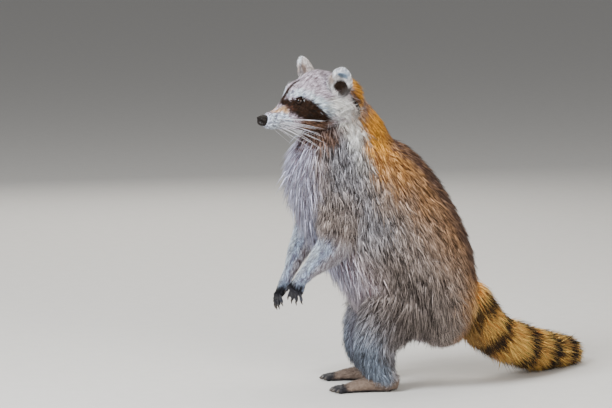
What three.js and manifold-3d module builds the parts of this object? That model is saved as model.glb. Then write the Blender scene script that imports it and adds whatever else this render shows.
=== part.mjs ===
// A raccoon standing upright on its hind legs, life size, as a still display model.
// Millimetres, +Z up. The animal faces -X and its left side faces -Y; its origin is on the floor, under the
// middle of its bounding box. Every solid reaches out to the tips of the coat.
import * as THREE from "three";
import { mergeVertices } from "three/addons/utils/BufferGeometryUtils.js";
import Module from "manifold-3d";

const wasm = await Module();
wasm.setup();

// ---- driving sizes, in millimetres and degrees ----
const GAP = 0.3; // clearance between neighbouring solids
const CENTRE_X = 34.9; // from the point under the hips to the middle of the bounding box
const CENTRE_Y = 59.4;
const HEAD_YAW = 27; // the head looks this far towards its left
const HEAD_PITCH = -6;
const HEAD_ROLL = 3.5; // its left side is the lower one
const BETWEEN_EYES = [-156.7, -78, 424.5];
const EYE = { radius: 7, at: [-3.8, 19.2, 0.4] };
const NOSE = { at: [48.5, 0, -22], size: [8, 9, 8] };
const MOUTH_HEIGHT = -33.5;
const MOUTH_CORNER = 6;
const EAR = { base: [-52.5, 42, 3], lean: [0, 0.44, 0.9], faces: [0.62, 0.78, -0.1], tall: 23.5, wide: 16, thick: 10 };

// ---- small tools ----
const vector = (p) => new THREE.Vector3(p[0], p[1], p[2]);

function solid(geometry) {
  geometry.deleteAttribute("normal");
  geometry.deleteAttribute("uv");
  const merged = mergeVertices(geometry, 1e-4);
  const vertProperties = new Float32Array(merged.attributes.position.array);
  const triVerts = new Uint32Array(merged.index.array);
  return new wasm.Manifold(new wasm.Mesh({ numProp: 3, vertProperties, triVerts }));
}

function curve(points) {
  return new THREE.CatmullRomCurve3(points, false, "catmullrom");
}

// A closed body laid along a smooth path. Each station has its place, half width, and half depth on the dorsal
// and the other side. The rings stand across the path, with their dorsal side towards the given direction; a
// ridge draws that side towards a roof shape, and a push swells or dents the surface round a point.
function loft(stations, dorsal, { around = 20, along = 14, grow = 0, ridge = 0, pushes = [], frame = null } = {}) {
  const path = curve(stations.map((s) => vector(s.at)));
  const sizes = curve(stations.map((s) => new THREE.Vector3(s.wide, s.top, s.bottom ?? s.top)));
  const geometry = new THREE.CylinderGeometry(1, 1, 1, around, along);
  const position = geometry.attributes.position;
  const ring = new THREE.Vector3();
  for (let i = 0; i < position.count; i++) {
    ring.fromBufferAttribute(position, i);
    const t = THREE.MathUtils.clamp(ring.y + 0.5, 0, 1);
    const ahead = path.getTangent(t);
    const up = vector(dorsal).projectOnPlane(ahead).normalize();
    const side = ahead.clone().cross(up);
    const size = sizes.getPoint(t);
    const depth = (ring.z > 0 ? size.y : size.z) + grow;
    const rise = ring.z > 0 ? ring.z * (1 - ridge * (1 - ring.z)) : ring.z;
    const end = t === 0 ? -grow : t === 1 ? grow : 0;
    const place = path.getPoint(t).addScaledVector(ahead, end);
    place.addScaledVector(side, ring.x * (size.x + grow)).addScaledVector(up, rise * depth);
    for (const push of pushes) {
      const near = Math.exp(-place.distanceToSquared(vector(push.at)) / (2 * push.reach ** 2));
      place.addScaledVector(vector(push.by), near);
    }
    position.setXYZ(i, place.x, place.y, place.z);
  }
  if (frame) geometry.applyMatrix4(frame);
  return solid(geometry);
}

function ellipsoid(at, size, { around = 20, rings = 14, grow = 0, frame = null } = {}) {
  const geometry = new THREE.SphereGeometry(1, around, rings);
  geometry.scale(size[0] + grow, size[1] + grow, size[2] + grow).translate(at[0], at[1], at[2]);
  if (frame) geometry.applyMatrix4(frame);
  return solid(geometry);
}

function block(low, high, frame = null) {
  const geometry = new THREE.BoxGeometry(high[0] - low[0], high[1] - low[1], high[2] - low[2]);
  geometry.translate((low[0] + high[0]) / 2, (low[1] + high[1]) / 2, (low[2] + high[2]) / 2);
  if (frame) geometry.applyMatrix4(frame);
  return solid(geometry);
}

const union = (solids) => solids.reduce((a, b) => a.add(b));
const biggest = (s) => s.decompose().reduce((a, b) => (b.volume() > a.volume() ? b : a));

// Parts a body at a point along a direction, leaving a thin gap: [the piece behind, the piece ahead].
function part(body, at, ahead) {
  const normal = vector(ahead).normalize();
  const offset = normal.dot(vector(at));
  const back = normal.clone().negate();
  return [
    biggest(body.trimByPlane(back.toArray(), -offset + GAP / 2)),
    biggest(body.trimByPlane(normal.toArray(), offset + GAP / 2)),
  ];
}

function basis(x, y, z, at) {
  return new THREE.Matrix4().makeBasis(x, y, z).setPosition(vector(at));
}

// ---- head: its own frame runs forward along X, left along Y and up along Z, from between the eyes ----
function headFrame() {
  const yaw = THREE.MathUtils.degToRad(HEAD_YAW);
  const pitch = THREE.MathUtils.degToRad(HEAD_PITCH);
  const forward = new THREE.Vector3(-Math.cos(yaw) * Math.cos(pitch), -Math.sin(yaw) * Math.cos(pitch), Math.sin(pitch));
  const left = new THREE.Vector3(Math.sin(yaw), -Math.cos(yaw), 0);
  const roll = new THREE.Matrix4().makeRotationX(THREE.MathUtils.degToRad(-HEAD_ROLL));
  return basis(forward, left, forward.clone().cross(left), BETWEEN_EYES).multiply(roll);
}

const HEAD_STATIONS = [
  { at: [52, 0, -22], wide: 9, top: 7.5, bottom: 8.5 },
  { at: [46, 0, -22.5], wide: 12, top: 9.5, bottom: 11.5 },
  { at: [36, 0, -23], wide: 15, top: 11, bottom: 13.5 },
  { at: [24, 0, -22], wide: 18.5, top: 14, bottom: 16.5 },
  { at: [12, 0, -20], wide: 25, top: 22.5, bottom: 21.5 },
  { at: [0, 0, -17], wide: 34, top: 31.5, bottom: 27.5 },
  { at: [-14, 0, -14], wide: 44, top: 40, bottom: 34 },
  { at: [-30, 0, -12], wide: 52, top: 45, bottom: 38 },
  { at: [-48, 0, -9], wide: 54, top: 47.5, bottom: 40 },
  { at: [-66, 0, -4], wide: 50, top: 41, bottom: 38 },
  { at: [-82, 0, 2], wide: 40, top: 26, bottom: 34 },
  { at: [-92, 0, 4], wide: 22, top: 13, bottom: 16 },
];
const HEAD_PUSHES = [
  { name: "inner corner of the eye", at: [11, 15, -2], reach: 8, by: [-1, -4.5, -2] },
  { name: "eye hollow", at: [-0.5, 24, 1], reach: 8, by: [-3.1, -4.2, -1] },
  { name: "cheek bone", at: [-20, 40, -14], reach: 12, by: [2, 3, 0] },
].flatMap((p) => [p, { ...p, at: [p.at[0], -p.at[1], p.at[2]], by: [p.by[0], -p.by[1], p.by[2]] }]);

function headLoft(grow, frame) {
  return loft(HEAD_STATIONS, [0, 0, 1], { around: 20, along: 18, grow, ridge: 0.4, pushes: HEAD_PUSHES, frame });
}

// An ear is an upright shell: an outer ellipsoid hollowed by a smaller one that stands in front of it.
function makeEar(frame, side) {
  const mirrored = (p) => new THREE.Vector3(p[0], side * p[1], p[2]);
  const up = mirrored(EAR.lean).normalize();
  const out = mirrored(EAR.faces).projectOnPlane(up).normalize();
  const place = frame.clone().multiply(basis(up.clone().cross(out).negate(), out, up, [EAR.base[0], side * EAR.base[1], EAR.base[2]]));
  const outer = ellipsoid([0, 0, EAR.tall], [EAR.wide, EAR.thick, EAR.tall + 2], { around: 12, rings: 8, frame: place });
  const hollow = ellipsoid([0, 8, EAR.tall], [EAR.wide - 3, EAR.thick, EAR.tall - 2.5], { around: 10, rings: 6, frame: place });
  return outer.subtract(hollow);
}

// ---- paws: a palm or sole with five digits, each ending in a claw ----
const DIGITS = [
  { across: -1, spread: -20, long: 0.78 },
  { across: -0.5, spread: -8, long: 0.96 },
  { across: 0, spread: 0, long: 1 },
  { across: 0.5, spread: 8, long: 0.93 },
  { across: 1, spread: 20, long: 0.74 },
];

// The digits in the paw's own frame: X outwards, Z towards the back of the paw, from the knuckles.
function makeDigits(paw, frame) {
  return DIGITS.map(({ across, spread, long }) => {
    const turn = THREE.MathUtils.degToRad(spread * paw.spread);
    const reach = (share, height) => [
      share * long * paw.digit * Math.cos(turn),
      across * paw.knuckles + share * long * paw.digit * Math.sin(turn),
      height,
    ];
    const stations = [
      { at: reach(-0.3, 0), wide: paw.toe, top: paw.toe },
      { at: reach(0.3, paw.arch), wide: paw.toe * 0.95, top: paw.toe * 0.95 },
      { at: reach(0.72, paw.drop * 0.4), wide: paw.toe, top: paw.toe },
      { at: reach(0.98, paw.drop), wide: paw.toe * 0.85, top: paw.toe * 0.85 },
      { at: reach(1.08, paw.drop * 1.2), wide: paw.toe * 0.4, top: paw.toe * 0.5 },
      { at: reach(1.35, paw.drop * 2.1), wide: 0.6, top: 0.6 },
    ];
    return loft(stations, [0, 0, 1], { around: 5, along: 5, frame });
  });
}


const FOREPAW = { knuckles: 10.4, digit: 20.5, toe: 3.1, arch: 2, drop: -3, spread: 1.2 };
const PALM = [
  { at: [-5, 0, 0], wide: 9, top: 8 },
  { at: [4, 0, 0], wide: 10.5, top: 7.5 },
  { at: [12, 0, 0], wide: 13.5, top: 5.8 },
  { at: [17, 0, -0.5], wide: 12.5, top: 3.6 },
];
const HINDPAW = { knuckles: 12, digit: 22, toe: 5, arch: 1, drop: -1, spread: 1 };
const SOLE = [
  { at: [-15, 0, 10], wide: 9, top: 8, bottom: 9 },
  { at: [-4, 0, 14], wide: 14, top: 14, bottom: 15 },
  { at: [20, 0, 11], wide: 14, top: 12, bottom: 12 },
  { at: [46, 0, 8], wide: 15.5, top: 9, bottom: 9 },
  { at: [60, 0, 6], wide: 14, top: 6, bottom: 7 },
];

// A paw's frame: X along the digits, Z out of its back.
function pawFrame(at, outwards, back) {
  const x = vector(outwards).normalize();
  const z = vector(back).projectOnPlane(x).normalize();
  return basis(x, z.clone().cross(x), z, at);
}

function makePaw(paw, palm, knuckle, frame) {
  const row = frame.clone().multiply(new THREE.Matrix4().makeTranslation(...knuckle));
  const pad = loft(palm, [0, 0, 1], { around: 10, along: 4, frame });
  return union([pad, ...makeDigits(paw, row)]);
}

// ---- body: a neck and trunk in one line, and limbs that leave it ----
const NECK_AND_TRUNK = [
  { at: [-97, -40, 434], wide: 34, top: 34, bottom: 30 },
  { at: [-90, -33, 410], wide: 43, top: 42, bottom: 44 },
  { at: [-82, -28, 378], wide: 52, top: 58, bottom: 62 },
  { at: [-72, -22, 331], wide: 64, top: 78, bottom: 92 },
  { at: [-41, -12, 274], wide: 75, top: 97, bottom: 101 },
  { at: [-3, -2, 215], wide: 82, top: 97, bottom: 101 },
  { at: [22, 6, 158], wide: 87, top: 93, bottom: 95 },
  { at: [42, 11, 121], wide: 80, top: 80, bottom: 64 },
  { at: [55, 14, 95], wide: 65, top: 64, bottom: 41 },
  { at: [64, 16, 78], wide: 46, top: 42, bottom: 28 },
  { at: [69, 17, 68], wide: 22, top: 20, bottom: 16 },
];
const NECK_END = { at: [-80, -27, 368], ahead: [0.12, 0.08, -1] };

const FORELEGS = {
  left: {
    stations: [
      { at: [-66, -36, 330], wide: 30, top: 40 },
      { at: [-80, -50, 290], wide: 32, top: 42 },
      { at: [-90, -60, 250], wide: 25, top: 33 },
      { at: [-97, -62, 218], wide: 20, top: 25 },
      { at: [-117, -60, 192], wide: 15, top: 17 },
      { at: [-131, -58, 178], wide: 11.5, top: 12.5 },
      { at: [-143, -56, 165], wide: 9.5, top: 10.5 },
    ],
    elbow: { at: [-96, -62, 220], ahead: [-0.5, 0, -0.87] },
    paw: { at: [-143, -56, 165], outwards: [-0.44, 0.08, -0.89], back: [-0.62, -0.75, 0.2] },
  },
  right: {
    stations: [
      { at: [-74, 4, 334], wide: 30, top: 40 },
      { at: [-100, 24, 296], wide: 30, top: 40 },
      { at: [-119, 37, 258], wide: 25, top: 31 },
      { at: [-132, 41, 226], wide: 18, top: 23 },
      { at: [-150, 36, 189], wide: 13, top: 15 },
      { at: [-159.5, 32, 166], wide: 10, top: 10 },
      { at: [-168.5, 28, 147], wide: 8.5, top: 9 },
    ],
    elbow: { at: [-131, 41, 228], ahead: [-0.45, -0.1, -0.89] },
    paw: { at: [-168.5, 28, 147], outwards: [-0.38, -0.15, -0.91], back: [-0.9, -0.3, 0.3] },
  },
};

const HIND_STATIONS = [
  { at: [50, 24, 204], wide: 24, top: 34 },
  { at: [34, 13, 170], wide: 38, top: 52 },
  { at: [10, 0, 140], wide: 41, top: 56 },
  { at: [-14, -5, 112], wide: 36, top: 48 },
  { at: [-31, -5, 84], wide: 29, top: 36 },
  { at: [-34, -4, 60], wide: 24, top: 31 },
  { at: [-28, -2, 38], wide: 19, top: 26 },
  { at: [-18, -1, 18], wide: 14, top: 17 },
];
const HINDLEGS = {
  left: { outwards: -1, at: [0, -46, 0], toes: [-1, -0.1, 0] },
  right: { outwards: 1, at: [-14, 52, 0], toes: [-1, 0.1, 0] },
};
const KNEE = { at: [-30, 0, 84], ahead: [-0.15, 0, -1] };
const HOCK = { at: [-22, 0, 24], ahead: [-0.35, 0, -1] };

const TAIL_STATIONS = [
  { at: [80, 6, 136], wide: 36, top: 44, bottom: 30 },
  { at: [104, 15, 107], wide: 35, top: 41, bottom: 35 },
  { at: [137, 45, 75], wide: 33, top: 33 },
  { at: [173, 85, 52], wide: 32, top: 32 },
  { at: [206, 130, 36], wide: 30, top: 30 },
  { at: [237, 175, 26], wide: 27, top: 27 },
  { at: [258, 212, 19], wide: 20, top: 20 },
  { at: [268, 234, 14], wide: 6, top: 6 },
];
const TAIL_CUTS = [
  { at: [155, 64, 60], ahead: [0.6, 0.7, -0.35] },
  { at: [222, 154, 29], ahead: [0.55, 0.82, -0.16] },
];

function makeForeleg({ stations, elbow, paw }, trunk) {
  const frame = pawFrame(paw.at, paw.outwards, paw.back);
  const leg = loft(stations, [1, 0, 0], { around: 12, along: 10 }).subtract(trunk);
  const [arm, hand] = part(union([leg, makePaw(FOREPAW, PALM, [14, 0, 0], frame)]), paw.at, paw.outwards);
  const [upper, lower] = part(arm, elbow.at, elbow.ahead);
  return { upper, lower, hand };
}

function makeHindleg({ outwards, at, toes }, trunk) {
  const move = (p) => [p[0] + at[0], at[1] - outwards * p[1], p[2] + at[2]];
  const leg = loft(HIND_STATIONS.map((s) => ({ ...s, at: move(s.at) })), [1, 0, 0], { around: 14, along: 10 });
  const frame = pawFrame(move([-18, 0, 0]), toes, [0, 0, 1]);
  const paw = makePaw(HINDPAW, SOLE, [58, 0, 4.3], frame);
  const whole = union([leg.subtract(trunk), paw]).trimByPlane([0, 0, 1], 0);
  const [rest, foot] = part(whole, move(HOCK.at), HOCK.ahead);
  const [thigh, shank] = part(rest, move(KNEE.at), KNEE.ahead);
  return { thigh, shank, foot };
}

// ---- materials and nodes ----
const paint = (color, roughness, metalness = 0) => new THREE.MeshStandardMaterial({ color, roughness, metalness });
const MATERIALS = {
  grey: paint(0x8f8579, 0.95),
  pale: paint(0xd8d3cb, 0.95),
  ochre: paint(0xa9814a, 0.95),
  mask: paint(0x2a221d, 0.95),
  paw: paint(0x37312f, 0.8),
  nose: paint(0x15110f, 0.45),
  eye: paint(0x0d0705, 0.08),
};

const group = new THREE.Group();

function node(name, body, material) {
  const mesh = body.getMesh();
  const geometry = new THREE.BufferGeometry();
  geometry.setAttribute("position", new THREE.BufferAttribute(new Float32Array(mesh.vertProperties), 3));
  geometry.setIndex(new THREE.BufferAttribute(new Uint32Array(mesh.triVerts), 1));
  geometry.computeVertexNormals();
  const piece = new THREE.Mesh(geometry, MATERIALS[material]);
  piece.name = name;
  group.add(piece);
}

const inHead = headFrame();
const skull = headLoft(0, inHead);
const skullRoom = headLoft(GAP, inHead);
const eyeAt = (side) => [EYE.at[0], side * EYE.at[1], EYE.at[2]];
const eyeball = (side, grow = 0) => ellipsoid(eyeAt(side), Array(3).fill(EYE.radius), { around: 12, rings: 8, grow, frame: inHead });
const nosePad = (grow = 0) => ellipsoid(NOSE.at, NOSE.size, { around: 10, rings: 8, grow, frame: inHead });
const jawRoom = block([MOUTH_CORNER, -40, -70], [80, 40, MOUTH_HEIGHT], inHead);
const jawCut = block([MOUTH_CORNER - GAP, -40, -70], [80, 40, MOUTH_HEIGHT + GAP], inHead);
const face = [eyeball(1, GAP), eyeball(-1, GAP), nosePad(GAP)].reduce((a, b) => a.subtract(b), skull);

node("head", biggest(face.subtract(jawCut)), "grey");
node("lower_jaw", biggest(face.intersect(jawRoom)), "pale");
node("nose", nosePad(), "nose");
for (const [name, side] of [["left", 1], ["right", -1]]) {
  node(`eye_${name}`, eyeball(side), "eye");
  node(`ear_${name}`, biggest(makeEar(inHead, side).subtract(skullRoom)), "pale");
}

const bodyOptions = { around: 22, along: 20 };
const [neck, trunk] = part(loft(NECK_AND_TRUNK, [1, 0, 0.4], bodyOptions), NECK_END.at, NECK_END.ahead);
const trunkRoom = loft(NECK_AND_TRUNK, [1, 0, 0.4], { ...bodyOptions, grow: GAP });
node("neck", biggest(neck.subtract(skullRoom)), "ochre");
node("trunk", trunk, "grey");

for (const [name, leg] of Object.entries(FORELEGS)) {
  const { upper, lower, hand } = makeForeleg(leg, trunkRoom);
  node(`upper_foreleg_${name}`, upper, "grey");
  node(`lower_foreleg_${name}`, lower, "pale");
  node(`forepaw_${name}`, hand, "paw");
}
for (const [name, leg] of Object.entries(HINDLEGS)) {
  const { thigh, shank, foot } = makeHindleg(leg, trunkRoom);
  node(`thigh_${name}`, thigh, "grey");
  node(`shank_${name}`, shank, "grey");
  node(`hindpaw_${name}`, foot, "paw");
}

const tail = loft(TAIL_STATIONS, [0, 0, 1], { around: 12, along: 13 }).subtract(trunkRoom).trimByPlane([0, 0, 1], 0);
const [tailBase, tailRest] = part(tail, TAIL_CUTS[0].at, TAIL_CUTS[0].ahead);
const [tailMiddle, tailTip] = part(tailRest, TAIL_CUTS[1].at, TAIL_CUTS[1].ahead);
node("tail_base", tailBase, "ochre");
node("tail_middle", tailMiddle, "ochre");
node("tail_tip", tailTip, "ochre");

group.position.set(-CENTRE_X, -CENTRE_Y, 0);

export default group;
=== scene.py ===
import math

import bpy
import numpy as np
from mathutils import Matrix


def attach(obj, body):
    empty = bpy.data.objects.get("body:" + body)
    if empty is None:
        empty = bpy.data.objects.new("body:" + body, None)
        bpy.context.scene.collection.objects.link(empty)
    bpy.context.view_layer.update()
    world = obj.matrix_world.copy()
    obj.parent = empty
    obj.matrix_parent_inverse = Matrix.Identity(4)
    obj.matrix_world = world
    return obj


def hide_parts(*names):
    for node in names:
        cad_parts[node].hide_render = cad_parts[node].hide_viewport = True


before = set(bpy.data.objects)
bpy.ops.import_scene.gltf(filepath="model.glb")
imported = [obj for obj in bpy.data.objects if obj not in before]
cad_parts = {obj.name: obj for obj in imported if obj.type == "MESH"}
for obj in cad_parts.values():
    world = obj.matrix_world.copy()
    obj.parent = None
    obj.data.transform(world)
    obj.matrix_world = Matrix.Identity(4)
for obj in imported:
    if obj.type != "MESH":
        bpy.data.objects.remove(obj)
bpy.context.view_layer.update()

bl_info = {
    "name": "Standing raccoon",
    "version": (1, 0, 0),
    "blender": (4, 5, 0),
    "location": "3D View > Sidebar > Raccoon",
    "description": "Builds the skin, coat, eyes, nose, claws and whiskers of a life-size raccoon",
    "category": "Object",
}

# Lengths below are millimetres in the animal's own frame: it faces -X, its left side is -Y, and the floor is z = 0.
MM = 0.001
RECENTRE = np.array([-34.9, -59.4, 0.0])
SEED = 20261


def to_row(places):
    """The animal's millimetres as the row frame's metres: (place + recentring) / 1000."""
    return (np.asarray(places, float) + RECENTRE) * MM


def linear(red, green, blue):
    """A screen colour of 0 to 255 as linear light: ((c + 0.055) / 1.055) to the power 2.4, or c / 12.92 when dark."""
    c = np.array([red, green, blue]) / 255.0
    return tuple(float(v) for v in np.where(c <= 0.04045, c / 12.92, ((c + 0.055) / 1.055) ** 2.4))


# ---------------------------------------------------------------- body plan

# Each station: x, y, z, half width, half height above, half height below, then the coat's depth at the side, above and
# below.
HEAD = np.array([
    [52, 0, -22, 9, 7.5, 8.5, 5.5, 4.5, 5.0],
    [46, 0, -22.5, 12, 9.5, 11.5, 3.4, 2.4, 2.6],
    [36, 0, -23, 15, 11, 13.5, 1.8, 1.3, 2.2],
    [24, 0, -22, 18.5, 14, 16.5, 1.8, 1.5, 2.6],
    [12, 0, -20, 25, 22.5, 21.5, 2.2, 2.2, 4.0],
    [0, 0, -17, 34, 31.5, 27.5, 3.0, 3.2, 6.0],
    [-14, 0, -14, 44, 40, 34, 5.5, 4.5, 9.0],
    [-30, 0, -12, 52, 45, 38, 9.0, 5.5, 12.0],
    [-48, 0, -9, 54, 47.5, 40, 12.0, 6.5, 14.0],
    [-66, 0, -4, 50, 41, 38, 13.0, 8.0, 14.0],
    [-82, 0, 2, 40, 26, 34, 12.0, 9.0, 13.0],
    [-92, 0, 4, 22, 13, 16, 8.0, 6.0, 8.0],
], float)
HEAD_YAW, HEAD_PITCH, HEAD_ROLL = 27.0, -6.0, 3.5
BETWEEN_EYES = np.array([-156.7, -78.0, 424.5])
# Where the head's surface is pressed in or out: x, y, z, reach, then the push, on the left; the right side mirrors it.
HEAD_PUSHES = np.array([
    [11, 15, -2, 8, -1, -4.5, -2],
    [-0.5, 24, 1, 8, -3.1, -4.2, -1],
    [-20, 40, -14, 12, 2, 3, 0],
], float)
# Finer forms that only the skin has: whisker pads, brow, cheek below the eye, and the corner of the mouth.
FACE_PUSHES = np.array([
    [36, 12, -27, 6.0, 0.5, 1.5, -0.3],
    [-4, 17, 11, 6.0, 1.0, 0.8, 1.6],
    [8, 23, -13, 6.5, 0.8, 1.2, 0.0],
    [10, 21, -30, 4.0, -0.5, -1.6, 0.0],
], float)

# The skin is drawn up under the rump and in above each heel.
RUMP_PUSHES = np.array([[56, 12, 62, 30, -2, 0, 13]], float)
LEG_PUSHES = np.array([
    [2, -3, 40, 17, -8, 0, 0],
    [4, -42, 128, 34, 0, 9, 0],
    [4, 42, 128, 34, 0, -9, 0],
], float)

EYE_RADIUS = 7.0
EYE_PLACE = np.array([-3.8, 19.2, 0.4])
EYE_LOOK = np.array([0.75, 0.57, 0.34])
NOSE_PLACE = np.array([46.8, 0.0, -21.8])
NOSE_SIZE = np.array([9.8, 9.6, 8.6])
MOUTH_HEIGHT = -33.5

EAR_BASE = np.array([-52.5, 42.0, 3.0])
EAR_LEAN = np.array([0.0, 0.44, 0.9])
EAR_FACES = np.array([0.62, 0.78, -0.1])
# Half the ear's height, width and thickness, half the height of its outline, and its coat's depth.
EAR_TALL, EAR_WIDE, EAR_THICK = 23.5, 16.0, 10.0
EAR_HIGH = EAR_TALL + 2
EAR_COAT = 2.0

TRUNK = np.array([
    [-97, -40, 434, 34, 34, 30, 8, 8, 8],
    [-90, -33, 410, 43, 42, 44, 11, 10, 12],
    [-82, -28, 378, 52, 58, 62, 14, 13, 17],
    [-72, -22, 331, 64, 78, 92, 17, 15, 22],
    [-41, -12, 274, 75, 97, 101, 18, 16, 22],
    [-3, -2, 215, 82, 97, 101, 18, 16, 19],
    [22, 6, 158, 87, 93, 95, 18, 16, 19],
    [42, 11, 121, 80, 80, 64, 18, 16, 16],
    [55, 14, 95, 65, 64, 41, 16, 15, 13],
    [64, 16, 78, 46, 42, 28, 14, 13, 9],
    [69, 17, 68, 22, 20, 16, 8, 7, 6],
], float)
FORELEG_LEFT = np.array([
    [-66, -36, 330, 30, 40, 40, 12, 12, 12],
    [-80, -50, 290, 32, 42, 42, 12, 12, 12],
    [-90, -60, 250, 25, 33, 33, 10, 10, 10],
    [-97, -62, 218, 20, 25, 25, 7.5, 7.5, 9],
    [-117, -60, 192, 15, 17, 17, 4.5, 4.5, 5],
    [-131, -58, 178, 11.5, 12.5, 12.5, 3, 3, 3],
    [-143, -56, 165, 9.5, 10.5, 10.5, 1.8, 1.8, 1.8],
], float)
FORELEG_RIGHT = np.array([
    [-74, 4, 334, 30, 40, 40, 12, 12, 12],
    [-100, 24, 296, 30, 40, 40, 12, 12, 12],
    [-119, 37, 258, 25, 31, 31, 10, 10, 10],
    [-132, 41, 226, 18, 23, 23, 6.5, 6.5, 8],
    [-150, 36, 189, 13, 15, 15, 4, 4, 4],
    [-159.5, 32, 166, 10, 10, 10, 2.4, 2.4, 2.4],
    [-168.5, 28, 147, 8.5, 9, 9, 1.6, 1.6, 1.6],
], float)
HINDLEG = np.array([
    [50, 24, 204, 24, 34, 34, 14, 18, 18],
    [34, 13, 170, 38, 52, 52, 20, 20, 20],
    [10, 0, 140, 41, 56, 56, 20, 18, 18],
    [-14, -5, 112, 36, 48, 48, 17, 16, 16],
    [-31, -5, 84, 29, 36, 36, 12, 12, 12],
    [-34, -4, 60, 24, 31, 31, 9.5, 9.5, 10],
    [-28, -2, 38, 19, 26, 26, 7, 7, 8],
    [-18, -1, 18, 14, 17, 17, 3.5, 3.5, 3.5],
], float)
# Each hind leg: which way is outwards, where it stands, and which way its toes point.
HIND_PLACE = {
    "left": (-1.0, np.array([0.0, -46.0, 0.0]), [-1, -0.1, 0]),
    "right": (1.0, np.array([-14.0, 52.0, 0.0]), [-1, 0.1, 0]),
}
TAIL = np.array([
    [80, 6, 136, 36, 44, 30, 16, 17, 14],
    [104, 15, 107, 35, 41, 35, 18, 18, 17],
    [137, 45, 75, 33, 33, 33, 19, 19, 18],
    [173, 85, 52, 32, 32, 32, 20, 20, 19],
    [206, 130, 36, 30, 30, 30, 19, 19, 18],
    [237, 175, 26, 27, 27, 27, 18, 18, 17],
    [258, 212, 19, 20, 20, 20, 14, 14, 14],
    [268, 234, 14, 6, 6, 6, 4, 4, 4],
], float)

PALM = np.array([
    [-5, 0, 0, 9, 8, 8, 1.4, 1.4, 1.0],
    [4, 0, 0, 10.5, 7.5, 7.5, 1.2, 1.2, 0.8],
    [12, 0, 0, 13.5, 5.8, 5.8, 1.0, 1.0, 0.6],
    [17, 0, -0.5, 12.5, 3.6, 3.6, 0.8, 0.6, 0.4],
], float)
SOLE = np.array([
    [-15, 0, 10, 9, 8, 9, 2.0, 2.0, 0.4],
    [-4, 0, 14, 14, 14, 15, 2.6, 3.0, 0.5],
    [20, 0, 11, 14, 12, 12, 2.0, 2.4, 0.4],
    [46, 0, 8, 15.5, 9, 9, 1.4, 1.4, 0.3],
    [60, 0, 6, 14, 6, 7, 1.0, 1.0, 0.3],
], float)
HEEL = np.array([-18.0, 0.0, 0.0])
# Digits: place across the knuckles, how far they spread in degrees, share of the full length.
DIGITS = np.array([[-1, -20, 0.78], [-0.5, -8, 0.96], [0, 0, 1.0], [0.5, 8, 0.93], [1, 20, 0.74]], float)
# Each paw: half width across the knuckles, a digit's length and half width, its arch, its drop at the end, its spread,
# where the row of knuckles lies, the digits' coat, and how far out the paw is haired.
FOREPAW = {"knuckles": 10.4, "digit": 20.5, "toe": 3.1, "arch": 2.0, "drop": -3.0, "spread": 1.2,
           "row": np.array([14, 0, 0], float), "coat": 0.45, "bare": 17.0}
HINDPAW = {"knuckles": 12.0, "digit": 22.0, "toe": 5.0, "arch": 1.0, "drop": -1.0, "spread": 1.0,
           "row": np.array([58, 0, 4.3], float), "coat": 0.8, "bare": 66.0}
# Each hand: its wrist, which way it points, and which way its back faces.
HANDS = {
    "left": ([-143, -56, 165], [-0.44, 0.08, -0.89], [-0.62, -0.75, 0.2]),
    "right": ([-168.5, 28, 147], [-0.38, -0.15, -0.91], [-0.9, -0.3, 0.3]),
}
SIDES = {"left": 1.0, "right": -1.0}
PAWS = ("hand_left", "hand_right", "foot_left", "foot_right")


# ---------------------------------------------------------------- numpy shapes

def unit(v):
    """Each vector divided by its length."""
    return v / np.maximum(np.linalg.norm(v, axis=-1, keepdims=True), 1e-9)


def smooth(x):
    """3x² - 2x³ of x held between 0 and 1."""
    x = np.clip(x, 0.0, 1.0)
    return x * x * (3.0 - 2.0 * x)


def curve(points, t):
    """Catmull-Rom curve through the points for t from 0 to 1: between two points a cubic whose end slopes are half the
    chord of their neighbours; past each end the neighbour is the end point mirrored."""
    points = np.asarray(points, float)
    padded = np.vstack([2 * points[0] - points[1], points, 2 * points[-1] - points[-2]])
    s = np.clip(t, 0.0, 1.0) * (len(points) - 1)
    i = np.minimum(s.astype(int), len(points) - 2)
    w = (s - i)[:, None]
    before, a, b, after = padded[i], padded[i + 1], padded[i + 2], padded[i + 3]
    slope_a, slope_b = (b - before) / 2, (after - a) / 2
    square = (-3 * a + 3 * b - 2 * slope_a - slope_b) * w ** 2
    cube = (2 * a - 2 * b + slope_a + slope_b) * w ** 3
    return a + slope_a * w + square + cube


def mottle(places, size, seed, waves=10, strength=2.2):
    """Smooth noise near -1 to 1: the mean of sine waves of about that size in random directions, at the places."""
    rng = np.random.default_rng(seed)
    runs = unit(rng.normal(size=(waves, 3))) * (2 * math.pi / size) * rng.uniform(0.6, 1.7, (waves, 1))
    return np.sin(places @ runs.T + rng.uniform(0, 2 * math.pi, waves)).mean(axis=1) * strength


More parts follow.
